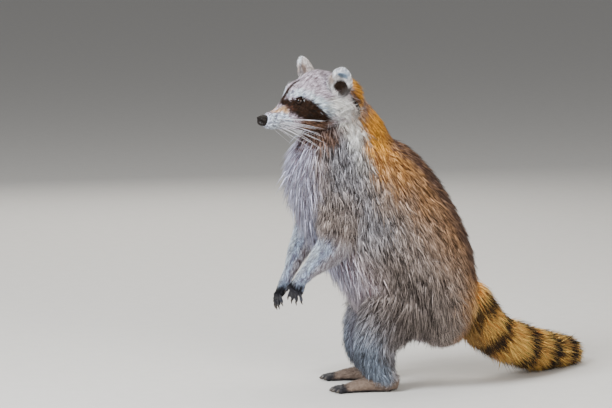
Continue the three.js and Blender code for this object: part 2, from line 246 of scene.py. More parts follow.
class Part:
    """A length of the body: stations along a path, seen in a frame of three axes (rows) at an origin."""

    def __init__(self, name, stations, dorsal, axes=np.eye(3), origin=(0, 0, 0), ridge=0.0, pushes=None):
        self.name, self.stations, self.dorsal = name, stations, np.array(dorsal, float)
        self.axes, self.origin, self.ridge = axes, np.array(origin, float), ridge
        self.pushes = np.zeros((0, 7)) if pushes is None else pushes

    def out(self, places):
        """Own frame to the animal's frame: origin + sum of coordinate times axis."""
        return places @ self.axes + self.origin

    def into(self, places):
        """The animal's frame to the part's own: dot products with the axes after the origin is taken off."""
        return (places - self.origin) @ self.axes.T

    def sections(self, t):
        """At each t: centre, direction ahead, up (the dorsal hint square to ahead), side = ahead x up, sizes, coat."""
        path = self.stations[:, :3]
        step = 1e-4
        ahead = unit(curve(path, np.minimum(t + step, 1)) - curve(path, np.maximum(t - step, 0)))
        up = unit(self.dorsal - (ahead @ self.dorsal)[:, None] * ahead)
        sizes = curve(self.stations[:, 3:], t)
        return curve(path, t), ahead, up, np.cross(ahead, up), sizes[:, :3], sizes[:, 3:]

    def surface(self, along, around, coat=1.0):
        """Grid over (t, angle): centre + side sin(angle) width + up cos(angle) height, each less the coat's depth; the
        upper half drawn in by the ridge; then each push moves it by push times exp(-distance²/(2 reach²))."""
        centre, _, up, side, size, depth = self.sections(np.linspace(0, 1, along + 1))
        angle = np.linspace(0, 2 * math.pi, around, endpoint=False)
        sine, rise = np.sin(angle)[None, :, None], np.cos(angle)[None, :, None]
        size = np.maximum(size - coat * depth, 0.6)
        tall = np.where(rise > 0, size[:, None, 1:2], size[:, None, 2:3])
        lifted = np.where(rise > 0, rise * (1 - self.ridge * (1 - rise)), rise)
        grid = centre[:, None] + side[:, None] * sine * size[:, None, 0:1] + up[:, None] * lifted * tall
        return self.out(press(grid, self.pushes))


def press(places, pushes):
    """Moves places by each push times exp(-distance² / (2 reach²)), in turn."""
    for row in pushes:
        apart = ((places - row[:3]) ** 2).sum(axis=-1, keepdims=True)
        places = places + row[4:] * np.exp(-apart / (2 * row[3] ** 2))
    return places


def mirrored(rows, columns):
    """The rows, and again with the given columns' signs turned."""
    other = rows.copy()
    other[:, columns] *= -1
    return np.vstack([rows, other])


def mirror(place, side):
    """A place or direction of the left side, on the side given: 1 is left and -1 is right."""
    return place * np.array([1, side, 1])


def head_axes():
    """Forward, left and up of the head in the animal's frame: turned by yaw and pitch, then rolled about forward."""
    yaw, pitch, roll = np.radians([HEAD_YAW, HEAD_PITCH, -HEAD_ROLL])
    forward = np.array([-math.cos(yaw) * math.cos(pitch), -math.sin(yaw) * math.cos(pitch), math.sin(pitch)])
    left = np.array([math.sin(yaw), -math.cos(yaw), 0.0])
    up = np.cross(forward, left)
    return np.array([forward, left * math.cos(roll) + up * math.sin(roll), up * math.cos(roll) - left * math.sin(roll)])


def paw_axes(outwards, back):
    """A paw's axes: outwards, across and out of its back, square to each other."""
    x = unit(np.array(outwards, float))
    z = unit(np.array(back, float) - (x @ np.array(back, float)) * x)
    return np.array([x, np.cross(z, x), z])


HEAD_AXES = head_axes()


def ear_axes(side):
    """An ear's axes in the animal's frame: across, out of its hollow, and up towards its tip."""
    up = unit(mirror(EAR_LEAN, side))
    out = mirror(EAR_FACES, side)
    out = unit(out - (out @ up) * up)
    return np.array([-np.cross(up, out), out, up]) @ HEAD_AXES


def ear_origin(side):
    """The middle of an ear's base in the animal's frame."""
    return mirror(EAR_BASE, side) @ HEAD_AXES + BETWEEN_EYES


def ear_stations():
    """The ear as sections from base to tip: an ellipse's half width at each height, thin from front to back."""
    high = np.linspace(-0.98, 0.98, 9)
    wide = np.sqrt(1 - high ** 2)
    rows = np.zeros((9, 9))
    rows[:, 2] = EAR_TALL + EAR_HIGH * high
    rows[:, 3:6] = wide[:, None] * [EAR_WIDE, EAR_THICK, EAR_THICK]
    rows[:, 6:] = EAR_COAT
    return rows


def hind_leg(side):
    """A hind leg: the left one's stations, mirrored for the right, and moved to where it stands."""
    outwards, at, _ = HIND_PLACE[side]
    rows = HINDLEG.copy()
    rows[:, 1] *= -outwards
    rows[:, :3] += at
    return Part("hindleg_" + side, rows, [1, 0, 0], pushes=LEG_PUSHES + np.append(at, np.zeros(4)))


def hind_paw(side):
    """A hind foot, flat on the floor from its heel."""
    _, at, toes = HIND_PLACE[side]
    return Part("foot_" + side, SOLE, [0, 0, 1], paw_axes(toes, [0, 0, 1]), HEEL + at)


def paw_of(name):
    """The measures of the paw that the part of this name is."""
    return FOREPAW if name.startswith("hand_") else HINDPAW


def digit_stations(paw, across, spread, long, claw=False):
    """One digit, or its claw: stations run out from the knuckle at its spread angle, arching up and then dropping."""
    turn = math.radians(spread * paw["spread"])
    reach = long * paw["digit"]

    def at(share, height):
        return [share * reach * math.cos(turn), across * paw["knuckles"] + share * reach * math.sin(turn), height]

    toe, drop, coat = paw["toe"], paw["drop"], paw["coat"]
    if claw:
        rows = [(0.88, drop * 0.55 + toe * 0.1, toe * 0.34, toe * 0.42),
                (1.0, drop * 0.85 + toe * 0.2, toe * 0.36, toe * 0.5),
                (1.1, drop * 1.15, toe * 0.27, toe * 0.4),
                (1.19, drop * 1.6, toe * 0.16, toe * 0.24),
                (1.25, drop * 1.9, 0.12, 0.15)]
        return np.array([at(s, h) + [w, d, d, 0, 0, 0] for s, h, w, d in rows])
    rows = [(-0.3, 0, 1), (0.12, paw["arch"] * 0.6, 0.92), (0.36, paw["arch"], 1.0), (0.55, paw["arch"] * 0.5, 0.86),
            (0.78, drop * 0.4, 1.04), (0.96, drop * 0.95, 0.84), (1.04, drop * 1.1, 0.42)]
    return np.array([at(s, h) + [toe * w] * 3 + [coat] * 3 for s, h, w in rows])


def build_parts():
    """Every length of the body by name."""
    head_pushes = mirrored(HEAD_PUSHES, [1, 5])
    parts = [
        Part("head", HEAD, [0, 0, 1], HEAD_AXES, BETWEEN_EYES, 0.4, head_pushes),
        Part("trunk", TRUNK, [1, 0, 0.4], pushes=RUMP_PUSHES),
        Part("foreleg_left", FORELEG_LEFT, [1, 0, 0]),
        Part("foreleg_right", FORELEG_RIGHT, [1, 0, 0]),
        hind_leg("left"),
        hind_leg("right"),
        Part("tail", TAIL, [0, 0, 1]),
    ]
    for side, turn in SIDES.items():
        at, outwards, back = HANDS[side]
        parts.append(Part("hand_" + side, PALM, [0, 0, 1], paw_axes(outwards, back), at))
        parts.append(hind_paw(side))
        parts.append(Part("ear_" + side, ear_stations(), [0, 1, 0], ear_axes(turn), ear_origin(turn)))
    return {part.name: part for part in parts}


PARTS = build_parts()
NAMES = list(PARTS)


def digits_of(name, claw=False):
    """The five digits, or their claws, of the paw that the part of this name is."""
    paw, part = paw_of(name), PARTS[name]
    for across, spread, long in DIGITS:
        rows = digit_stations(paw, across, spread, long, claw)
        yield Part("digit", rows, [0, 0, 1], part.axes, part.out(paw["row"]))


def tube(grid):
    """Places and faces of a grid closed round its second axis, with a fan to the middle of its first and last rings."""
    rows, columns = grid.shape[:2]
    places = np.vstack([grid.reshape(-1, 3), grid[0].mean(axis=0), grid[-1].mean(axis=0)])
    j = np.arange(columns)
    nxt = (j + 1) % columns
    i = np.arange(rows - 1)[:, None] * columns
    quads = np.stack([i + j, i + nxt, i + columns + nxt, i + columns + j], axis=-1).reshape(-1, 4)
    first, last = rows * columns, rows * columns + 1
    end = (rows - 1) * columns
    head = np.stack([np.full(columns, first), nxt, j], axis=1)
    foot = np.stack([np.full(columns, last), end + j, end + nxt], axis=1)
    return places, quads, np.vstack([head, foot])


def joined(pieces):
    """Several (places, quads, triangles) as one, with the faces' numbers moved on."""
    places, quads, caps, start = [], [], [], 0
    for p, q, c in pieces:
        places.append(p)
        quads.append(q + start)
        caps.append(c + start)
        start += len(p)
    return np.vstack(places), np.vstack(quads), np.vstack(caps)


def make_mesh(name, places, *faces, in_row=False):
    """A mesh from whole arrays of places and of faces with three or four corners each."""
    mesh = bpy.data.meshes.new(name)
    places = places if in_row else to_row(places)
    faces = [f for f in faces if len(f)]
    corners = np.concatenate([f.ravel() for f in faces]).astype(np.int32)
    totals = np.concatenate([np.full(len(f), f.shape[1]) for f in faces])
    starts = np.concatenate([[0], np.cumsum(totals)[:-1]]).astype(np.int32)
    mesh.vertices.add(len(places))
    mesh.vertices.foreach_set("co", np.ascontiguousarray(places, np.float32).ravel())
    mesh.loops.add(len(corners))
    mesh.loops.foreach_set("vertex_index", corners)
    mesh.polygons.add(len(totals))
    mesh.polygons.foreach_set("loop_start", starts)
    mesh.update(calc_edges=True)
    mesh.shade_smooth()
    return mesh


def set_colour(mesh, name, colours):
    """A colour for each point of the mesh, kept as an attribute."""
    attribute = mesh.attributes.new(name, "FLOAT_COLOR", "POINT")
    attribute.data.foreach_set("color", np.hstack([colours, np.ones((len(colours), 1))]).astype(np.float32).ravel())


def set_number(mesh, name, numbers):
    """A number for each point of the mesh, kept as an attribute."""
    mesh.attributes.new(name, "FLOAT", "POINT").data.foreach_set("value", np.asarray(numbers, np.float32))


def add_piece(name, mesh, material, replaced=()):
    """Puts the mesh in the scene at the origin, riding on the body, with its finish and the nodes it stands for."""
    piece = bpy.data.objects.new(name, mesh)
    bpy.context.scene.collection.objects.link(piece)
    mesh.materials.append(material)
    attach(piece, "root")
    if replaced:
        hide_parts(*replaced)
    return piece


def places_of(mesh):
    """The mesh's points in the animal's millimetres."""
    co = np.empty(len(mesh.vertices) * 3, np.float32)
    mesh.vertices.foreach_get("co", co)
    return co.reshape(-1, 3).astype(float) / MM - RECENTRE


# ---------------------------------------------------------------- where a point lies on the body

# How much further off trunk, hip and shoulder count than they are, so that the parts beyond them begin sooner.
TRUNK_OFF, HIP_OFF, SHOULDER_OFF = 0.06, 0.16, 0.16
# How sharply one part's share gives way to the next.
SHARPNESS = 8.0
# How many points are looked up at a time.
CHUNK = 20000


def lie_on(part, points, samples=30):
    """For each point the part's nearest section: how far out it is (1 on the coat's outline), t, and the cosine and
    sine of its angle from the part's top."""
    t = np.linspace(0, 1, samples)
    centre, ahead, up, side, size, _ = part.sections(t)
    length = np.linalg.norm(np.diff(centre, axis=0), axis=1).sum()
    local = part.into(points)
    apart = local[:, None] - centre[None]
    along = np.einsum("nkc,kc->nk", apart, ahead)
    across = np.einsum("nkc,kc->nk", apart, side) / size[:, 0]
    raised = np.einsum("nkc,kc->nk", apart, up)
    raised = raised / np.where(raised > 0, size[:, 1], size[:, 2])
    out = np.sqrt(across ** 2 + raised ** 2)
    best = np.argmin((along / (0.6 * size[:, 0])) ** 2 + out ** 2, axis=1)
    row = np.arange(len(points))
    over = along[row, best]
    place = t[best] + over / length
    past = np.maximum(np.maximum(-place, place - 1), 0) * length / size[best, 0]
    place = np.clip(place, 0, 1)
    across, raised, out = across[row, best], raised[row, best], np.maximum(out[row, best], 1e-6)
    return np.sqrt(out ** 2 + past ** 2), place, raised / out, across / out


def describe(points):
    """Where each point lies on each part (chunks keep the arrays small), and how much of it belongs to each part: a
    soft choice of the part it lies nearest to."""
    found = {}
    for name, part in PARTS.items():
        chunks = np.array_split(points, max(1, len(points) // CHUNK))
        found[name] = np.concatenate([np.stack(lie_on(part, chunk)) for chunk in chunks], axis=1)
    score = np.stack([found[name][0] for name in PARTS])
    score[NAMES.index("trunk")] += TRUNK_OFF
    for side in SIDES:
        hip, shoulder = "hindleg_" + side, "foreleg_" + side
        score[NAMES.index(hip)] += HIP_OFF * smooth((0.48 - found[hip][1]) / 0.36)
        score[NAMES.index(shoulder)] += SHOULDER_OFF * smooth((0.42 - found[shoulder][1]) / 0.3)
    share = np.exp(-SHARPNESS * (score - score.min(axis=0)))
    return found, share / share.sum(axis=0)


# ---------------------------------------------------------------- markings

def stroke(points, line, soft, wobble=0.0):
    """1 within a band round a bent line of (x, y, z, radius) rows, 0 outside, softened over `soft` mm at its edge."""
    line = np.array(line, float)
    nearest = np.full(len(points), 1e9)
    for a, b in zip(line[:-1], line[1:]):
        run = b[:3] - a[:3]
        s = np.clip((points - a[:3]) @ run / (run @ run), 0, 1)
        gap = np.linalg.norm(points - a[:3] - s[:, None] * run, axis=1) - (a[3] + s * (b[3] - a[3]))
        nearest = np.minimum(nearest, gap)
    return smooth(0.5 - (nearest + wobble) / (2 * soft))


def tint(colours, mask, colour):
    """colours + (colour - colours) times mask."""
    return colours + (np.asarray(colour) - colours) * mask[:, None]


def band(value, low, high, soft):
    """1 between low and high, 0 outside, with soft edges."""
    return smooth((value - low) / soft + 0.5) * smooth((high - value) / soft + 0.5)


def ellipse(x, y, wide, tall):
    """How far (x, y) lies from an ellipse's middle, with 1 on the ellipse."""
    return np.sqrt((x / wide) ** 2 + (y / tall) ** 2)


# How much lighter than its ink the ruff is laid on, because its tufts shade each other.
RUFF_GLEAM = 1.3

# Strokes on the face, with both sides folded onto the left: light ink, dark ink, share of dark tips, strength, softness
# of the edge, how far it wavers, and the line as (x, y, z, radius).
FACE_STROKES = [
    ("throat_dark", "mask_dark", 0.6, 1, 6, 2, [(6, 0, -46, 12), (-34, 16, -48, 17), (-52, 26, -46, 12)]),
    ("white", "cheek_dark", 0.12, 1, 6, 3, [
        (-34, 50, -16, 10), (-44, 50, -24, 15), (-58, 46, -34, 15), (-76, 38, -38, 12)]),
    ("cheek_light", "cheek_dark", 0.24, 1, 7, 3, [(-50, 52, -8, 12), (-66, 50, -10, 10)]),
    ("white", "white_shade", 0.02, 1, 1.8, 1, [
        (12, 5, 8.5, 4.2), (8, 12, 10.5, 5.2), (-2, 23, 11, 6.0), (-11, 36, 5, 6.2), (-20, 46, -4, 7.0),
        (-30, 52, -14, 9)]),
    ("throat_light", "throat_dark", 0.5, 1, 3, 2, [
        (17, 21, -33, 3), (6, 30, -32, 6), (-8, 39, -33, 8), (-22, 45, -37, 7)]),
    ("muzzle_light", "muzzle_dark", 0.0, 1, 1.8, 0.5, [
        (50, 4, -26, 9), (38, 9, -26, 13), (26, 14, -25, 11.5), (20, 18, -27, 8.5)]),
    ("tan", "tan_dark", 0.0, 1, 2.0, 1, [(33, 4, -11, 3.5), (22, 9, -9, 4.5), (19, 15, -13, 3.2)]),
    ("mask", "mask_dark", 0.2, 1, 1.2, 0.8, [
        (17, 3, -2.5, 3.2), (14.5, 8, -2, 5.5), (11, 14, -3, 8.5), (6, 21, -6, 12), (1, 27, -7.5, 13.6),
        (-6, 35.5, -12.5, 11.6), (-14.3, 43.5, -18.5, 9.0), (-22.5, 48, -22.5, 6.0), (-27, 50, -24, 3.5)]),
    ("mask_warm", "mask_dark", 0.2, 0.75, 4, 1, [(17, 12, -6, 4.5), (12, 18, -11, 5)]),
    ("mask", "mask_dark", 0.2, 1, 1.4, 1, [
        (38, 0, -11, 1.6), (27, 0, -7, 3.0), (15, 0, 3, 4.2), (5, 0, 12, 4.0), (-7, 0, 22, 3.4), (-22, 0, 30, 2.2)]),
    ("crown_dark", "mask_dark", 0.3, 0.5, 2.5, 1, [(-22, 0, 30, 2.4), (-44, 0, 37, 2.0)]),
    ("lip", "lip", 0.0, 1, 0.9, 0, [(49, 0, -33.2, 1.2), (38, 10, -34, 1.0), (24, 16, -34, 1.0), (11, 21.5, -31, 1.2)]),
    ("muzzle_light", "muzzle_dark", 0.0, 1, 3, 0, [(50, 0, -36, 4), (36, 4, -40, 6), (22, 6, -42, 7)]),
    ("throat_dark", "mask_dark", 0.5, 1, 4, 2, [(-60, 46, 24, 6), (-66, 45, 12, 7), (-70, 44, 2, 6)]),
]
# Strokes that run from the head on to the neck, laid on the same way: the ruff, and the dark patch behind the ear.
NECK_STROKES = [
    ("ruff", "ruff_dark", 0.0, 1, 6, 4, [
        (-34, 49, 0, 8), (-45, 46, -8, 10.5), (-56, 41, -13, 12), (-65, 36, -20, 12.5), (-73, 31, -33, 11.5),
        (-77, 34, -48, 8), (-79, 40, -64, 3)]),
    ("throat_dark", "mask_dark", 0.8, 1, 3, 2, [
        (-57, 42, 20, 5), (-63, 39, 11, 7), (-69, 35, 3, 6.5), (-76, 31, -6, 4)]),
]
# Where along the hand its dark lines start, and where they meet.
HAND_DARK = {"left": (-6.0, 7.0), "right": (-9.0, -9.0)}
# The rings' places along the tail, half a ring's width, and where the dark end begins.
TAIL_RINGS = (0.08, 0.225, 0.4, 0.57, 0.715)
TAIL_RING_HALF = 0.036
TAIL_END = 0.85


class Paint:
    """A light colour, a dark colour and a share of dark tips for each point, laid on in turn from named inks."""

    def __init__(self, count, ink, light_name, dark_name, tips):
        self.ink = ink
        self.light = np.zeros((count, 3)) + ink[light_name]
        self.dark = np.zeros((count, 3)) + ink[dark_name]
        self.tips = np.full(count, tips)

    def lay(self, mask, light_name, dark_name, tip=None):
        """Each value moves by the mask times its way to the ink, and the tips to `tip` where one is given."""
        self.light = tint(self.light, mask, self.ink[light_name])
        self.dark = tint(self.dark, mask, self.ink[dark_name])
        if tip is not None:
            self.tips = self.tips + (tip - self.tips) * mask

    def cover(self, mask, other):
        """The other paint laid over this one by the mask."""
        self.light = tint(self.light, mask, other.light)
        self.dark = tint(self.dark, mask, other.dark)
        self.tips = self.tips + (other.tips - self.tips) * mask


def markings(points, found, share, ink):
    """The coat's light and dark colours and the share of dark tips at each point, from where it lies on the body: two
    sizes of mottling waver every edge, each marking is a product of soft steps in t, angle and place, and the head's
    are laid over the body's."""
    ink = dict(ink, ruff=RUFF_GLEAM * ink["ruff"])
    part = dict(zip(PARTS, share))
    patch = mottle(points, 38, 1)
    fine = mottle(points, 9, 2)
    coat = Paint(len(points), ink, "flank_light", "flank_dark", 0.38)
    mark_trunk(coat, found["trunk"], part["trunk"], patch, fine)
    for side in SIDES:
        mark_foreleg(coat, points, found, part, side, patch, fine)
        mark_hindleg(coat, points, found, part, side, patch, fine)

    # Painted shade where the flank meets the thigh: the top of the thigh, under the flank's overhanging hair, is laid
    # darker.
    folded = np.stack([points[:, 0], np.abs(points[:, 1] - 6), points[:, 2]], axis=1)
    hip = stroke(folded, [(-30, 80, 205, 16), (5, 84, 188, 24), (42, 84, 178, 14)], 16, 9 * patch + 6 * fine)
    coat.lay(0.5 * hip * (1 - part["tail"]), "flank_dark", "thigh_dark", 0.6)
    mark_tail(coat, found["tail"], part["tail"], patch, fine)

    # The head in its own frame, with both sides folded onto the left, then the strokes that run from head to neck.
    face = PARTS["head"].into(points)
    face[:, 1] = np.abs(face[:, 1])
    rough = 0.9 * fine
    own = part["head"] + part["ear_left"] + part["ear_right"]
    head = mark_head(face, ink, patch, rough)
    for side, turn in SIDES.items():
        mark_ear(head, PARTS["ear_" + side].into(points), part["ear_" + side], turn, fine)
    coat.cover(own, head)
    lay_strokes(coat, face, rough, NECK_STROKES)
    under = stroke(face, [(-8, 0, -42, 13), (-30, 8, -45, 14), (-54, 2, -46, 14), (-40, 26, -48, 11)], 7, 3 * rough)
    coat.lay(under * (1 - 0.5 * own), "throat_light", "throat_dark")
    return coat.light, coat.dark, coat.tips


def lay_strokes(paint, face, rough, rows):
    """Lays each row's stroke on the paint, in turn."""
    for light_name, dark_name, tip, strength, soft, waver, line in rows:
        paint.lay(strength * stroke(face, line, soft, waver * rough), light_name, dark_name, tip)


def mark_trunk(coat, found, own, patch, fine):
    """Golden nape, agouti back with a dark line, silver flank, pale chest and belly, ochre rump: by t and by the lean,
    the angle from the top in degrees."""
    _, t, top, _ = found
    lean = np.degrees(np.arccos(np.clip(top, -1, 1))) + 4 * patch + 4 * fine
    coat.lay(smooth((84 - lean) / 60) * own, "back_light", "back_dark", 0.42)
    nape = smooth((70 - lean) / 20) * smooth((0.47 - t - 0.04 * patch) / 0.3)
    coat.lay(nape * own, "nape_light", "nape_dark", 0.34)
    edge = band(lean, 56, 84, 14) * smooth((0.36 - t) / 0.12)
    coat.lay(0.45 * edge * own, "white", "flank_dark", 0.2)
    throat_side = band(lean, 82, 122, 16) * band(t, 0.12, 0.44, 0.1)
    coat.lay(0.45 * throat_side * own, "thigh_light", "flank_dark", 0.6)
    chest = smooth((lean - 120) / 26)
    coat.lay(chest * own, "chest_light", "chest_dark", 0.08)
    belly = smooth((lean - 104) / 26) * smooth((t - 0.40) / 0.16)
    coat.lay(0.85 * belly * own, "belly_light", "belly_dark", 0.05)
    ridge = smooth((32 - lean) / 18) * smooth((t - 0.16) / 0.12)
    coat.lay(ridge * own * 0.85, "ridge_light", "ridge_dark", 0.8)
    rump = smooth((t - 0.72) / 0.16) * smooth((70 - lean) / 30)
    coat.lay(rump * own, "rump_light", "rump_dark", 0.4)


def mark_foreleg(coat, points, found, part, side, patch, fine):
    """Bluish white forearm, brown behind and white in front; on the hand dark lines along the fingers that meet in dark
    finger ends, and a dark palm."""
    _, t, top, _ = found["foreleg_" + side]
    own = part["foreleg_" + side] + part["hand_" + side]
    fore = smooth((t - 0.34 - 0.04 * patch) / 0.22) * own
    coat.lay(fore, "foreleg_light", "foreleg_dark", 0.10)
    behind = smooth((top + 0.15 + 0.2 * fine) / 0.5) * smooth((t - 0.3) / 0.2) * smooth((1.02 - t) / 0.25)
    coat.lay(0.62 * behind * own, "flank_light", "foreleg_brown", 0.3)
    front = smooth((-top - 0.35) / 0.4) * smooth((t - 0.4) / 0.2)
    coat.lay(0.85 * front * own, "white", "foreleg_dark", 0.0)
    hand = PARTS["hand_" + side].into(points)
    start, web = HAND_DARK[side]
    fan = 0.62 + 0.027 * hand[:, :1]
    gap = np.abs(hand[:, 1, None] - DIGITS[:, 0] * FOREPAW["knuckles"] * fan).min(axis=1)
    lines = np.maximum(smooth((2.4 - gap) / 1.2), smooth((hand[:, 0] - web + 1.5 * fine) / 6))
    fingers = lines * smooth((hand[:, 0] - start + 1.5 * fine) / 5) * part["hand_" + side]
    palm = smooth((-hand[:, 2] - 0.5) / 3) * part["hand_" + side]
    coat.lay(np.maximum(fingers, palm), "paw", "paw_dark", 0.0)


def mark_hindleg(coat, points, found, part, side, patch, fine):
    """Silver thigh, dark along its top, in two bands and pale inside; a grey-brown foot with dark toes and sole."""
    _, t, top, across = found["hindleg_" + side]
    own = part["hindleg_" + side]
    coat.lay(own * smooth((t - 0.3) / 0.4), "thigh_light", "thigh_dark", 0.42)
    coat.lay(own * smooth((top - 0.1 + 0.2 * patch) / 0.5) * 0.55, "flank_light", "flank_dark", 0.3)
    # Painted shade: the upper thigh is laid darker, as if shaded by the flank's hair above it.
    coat.lay(own * band(t, 0.12, 0.46, 0.24) * 0.5, "thigh_dark", "thigh_dark", 0.5)
    inner = smooth((-across * SIDES[side] - 0.3) / 0.4)
    coat.lay(own * inner * 0.5, "chest_light", "chest_dark", 0.1)
    coat.lay(own * band(t, 0.62, 0.8, 0.1) * smooth(0.5 + patch) * 0.4, "flank_dark", "thigh_dark", 0.5)
    foot = PARTS["foot_" + side].into(points)
    own = part["foot_" + side]
    coat.lay(own, "foot_light", "foot_dark", 0.15)
    toes = smooth((foot[:, 0] - 56 + 2 * fine) / 8)
    coat.lay(own * toes, "paw", "paw_dark", 0.0)
    sole = smooth((5.5 - points[:, 2]) / 3)
    coat.lay(own * sole, "paw", "paw_dark", 0.0)


def mark_tail(coat, found, own, patch, fine):
    """Ochre with dark rings, a dark tip and a dark underside near the root."""
    _, t, top, _ = found
    coat.lay(own, "tail_light", "tail_dark", 0.14)
    wave = t + 0.012 * patch + 0.008 * fine
    rings = smooth((wave - TAIL_END) / 0.03)
    for at in TAIL_RINGS:
        rings = np.maximum(rings, band(wave, at - TAIL_RING_HALF, at + TAIL_RING_HALF, 0.022))
    coat.lay(own * rings, "ring", "ring_dark", 0.5)
    coat.lay(own * smooth((-0.35 - top) / 0.3) * smooth((0.22 - t) / 0.1) * 0.8, "ring", "ring_dark", 0.5)


def mark_head(face, ink, patch, rough):
    """The head's paint: forehead into crown, nape and throat by place, then the face's strokes."""
    x, y, z = face.T
    head = Paint(len(face), ink, "brow_light", "brow_dark", 0.3)
    head.light = tint(head.light, smooth((-x - 52 + 6 * patch) / 26), ink["crown_light"])
    head.dark = tint(head.dark, smooth((-x - 46 + 6 * patch) / 26), ink["crown_dark"])
    head.lay(smooth((-x - 62 + 0.2 * z) / 12) * smooth((y * 0.3 + z + 4) / 14), "nape_light", "nape_dark", 0.3)
    head.lay(smooth((-18 - z) / 5) * smooth((8 - x) / 8) * smooth((x + 34) / 10), "throat_light", "throat_dark", 0.4)
    lay_strokes(head, face, rough, FACE_STROKES)
    return head


def mark_ear(head, ear, own, turn, fine):
    """An ear in its own frame: grey back, cream front, white rim, a dark hollow with grey above it, and a tan notch."""
    ear[:, 0] *= turn
    across, out, up = ear.T
    rim = ellipse(across, up - EAR_TALL, EAR_WIDE, EAR_HIGH)
    front = smooth((out + (EAR_THICK - 1.2) * np.sqrt(np.maximum(1 - rim ** 2, 0)) - 1.5) / 2)
    head.lay(own, "ear_back", "ear_back_dark", 0.2)
    hole = ellipse(across + 2.8, up - 15.5, 12.2, 11.2) + 0.08 * fine
    head.lay(own * front, "ear_cream", "ear_cream_dark", 0.05)
    head.lay(own * smooth((rim - 0.86) / 0.1) * smooth((up - 4) / 6), "white", "white_shade", 0.0)
    head.lay(own * front * smooth((1.1 - hole) / 0.2), "ear_hole", "mask_dark", 0.3)
    upper = ellipse(across + 1.5, up - 38.0, 9.0, 6.5)
    head.lay(own * front * smooth((1.1 - upper) / 0.3), "ear_grey", "ear_grey", 0.1)
    notch = ellipse(across - 14.0, up - 24, 4.5, 11.0)
    head.lay(0.75 * own * smooth((1.1 - notch) / 0.4), "tan_dark", "throat_dark", 0.2)


def coat_depth(points, found, share):
    """How deep the coat is at each point: the parts' own depths at its t and angle, blended by their shares, and never
    deeper on the muzzle than a measure that falls towards the nose."""
    depth = np.zeros(len(points))
    for own, (name, part) in zip(share, PARTS.items()):
        _, t, top, across = found[name]
        coat = curve(part.stations[:, 6:], t)
        up = np.where(top > 0, coat[:, 1], coat[:, 2])
        depth += own * np.sqrt((coat[:, 0] * across) ** 2 + (up * top) ** 2)
    ahead = PARTS["head"].into(points)[:, 0]
    muzzle = 1.2 + 0.12 * (50 - np.minimum(ahead, 50))
    return np.where(ahead > 30, np.minimum(depth, muzzle), depth)


def loose(points, found, share):
    """Where the coat is shaggy, from 0 to 1: chest and belly, a little on the flank, the back of the cheeks, above the
    ankles, behind the forelegs, and the tail. Each is a product of soft steps in t, angle and place."""
    part = dict(zip(PARTS, share))
    face = PARTS["head"].into(points)
    _, t, top, _ = found["trunk"]
    shaggy = part["trunk"] * smooth((-top - 0.25) / 0.5) * smooth((0.64 - t) / 0.2)
    shaggy = shaggy + 0.25 * part["trunk"] * band(t, 0.55, 0.74, 0.1) * band(top, -0.7, 0.5, 0.3)
    shaggy = shaggy + 0.55 * part["head"] * smooth((-face[:, 0] - 30) / 22) * smooth((2 - face[:, 2]) / 16)
    for side in SIDES:
        _, t, top, _ = found["hindleg_" + side]
        shaggy = shaggy + 0.7 * part["hindleg_" + side] * smooth((t - 0.48) / 0.25)
        _, t, top, _ = found["foreleg_" + side]
        shaggy = shaggy + 0.5 * part["foreleg_" + side] * smooth(top / 0.5) * smooth((0.7 - t) / 0.2)
    return np.clip(shaggy + 0.35 * part["tail"], 0, 1)


# How far gravity bends the coat's lie on each part.
FALL = {
    "head": 0.12, "trunk": 0.55, "tail": 0.12, "foreleg": 0.25, "hindleg": 0.4, "hand": 0.0, "foot": 0.0, "ear": -0.3,
}


def coat_lie(points, found, share):
    """The coat's direction at each point: each part's own run, turned towards the ground, blended by the shares. At the
    root of a leg it runs down, and at the back of the head it falls and spreads to the sides as the cheeks' ruff."""
    lie = np.zeros((len(points), 3))
    for own, (name, part) in zip(share, PARTS.items()):
        _, t, top, across = found[name]
        _, ahead, _, side, _, _ = part.sections(t)
        run = ahead @ part.axes
        down = np.array([0.0, 0.0, -1.0]) * FALL[name.split("_")[0]]
        if name.startswith(("hindleg", "foreleg")):
            root = smooth((0.5 - t) / 0.4)[:, None]
            run = run * (1 - root) + root * np.array([0.12, 0.0, -1.0])
        lie += own[:, None] * (run + down)
        if name == "head":
            lie += (own * 1.5 * smooth((t - 0.66) / 0.3))[:, None] * np.array([-0.3, 0, -1.0])
            spread = smooth((t - 0.35) / 0.25) * (0.45 * smooth((0.5 - top) / 0.8))
            fan = (own * spread * across)[:, None] * (side @ part.axes)
            lie += fan + (own * spread)[:, None] * np.array([0, 0, -0.9])
    return lie


# ---------------------------------------------------------------- materials

class Wire:
    """A shader socket that adds Math nodes when it is used in an expression."""

    def __init__(self, finish, socket):
        self.finish, self.socket = finish, socket

    def __add__(self, other):
        return self.math("ADD", self, other)

    def __sub__(self, other):
        return self.math("SUBTRACT", self, other)

    def __rsub__(self, other):
        return self.math("SUBTRACT", other, self)

    def __mul__(self, other):
        return self.math("MULTIPLY", self, other)

    def __pow__(self, other):
        return self.math("POWER", self, other)

    __radd__, __rmul__ = __add__, __mul__

    def math(self, operation, a, b):
        """The value of one Math node on a and b."""
        return self.finish.node("ShaderNodeMath", {"operation": operation}, {0: a, 1: b})


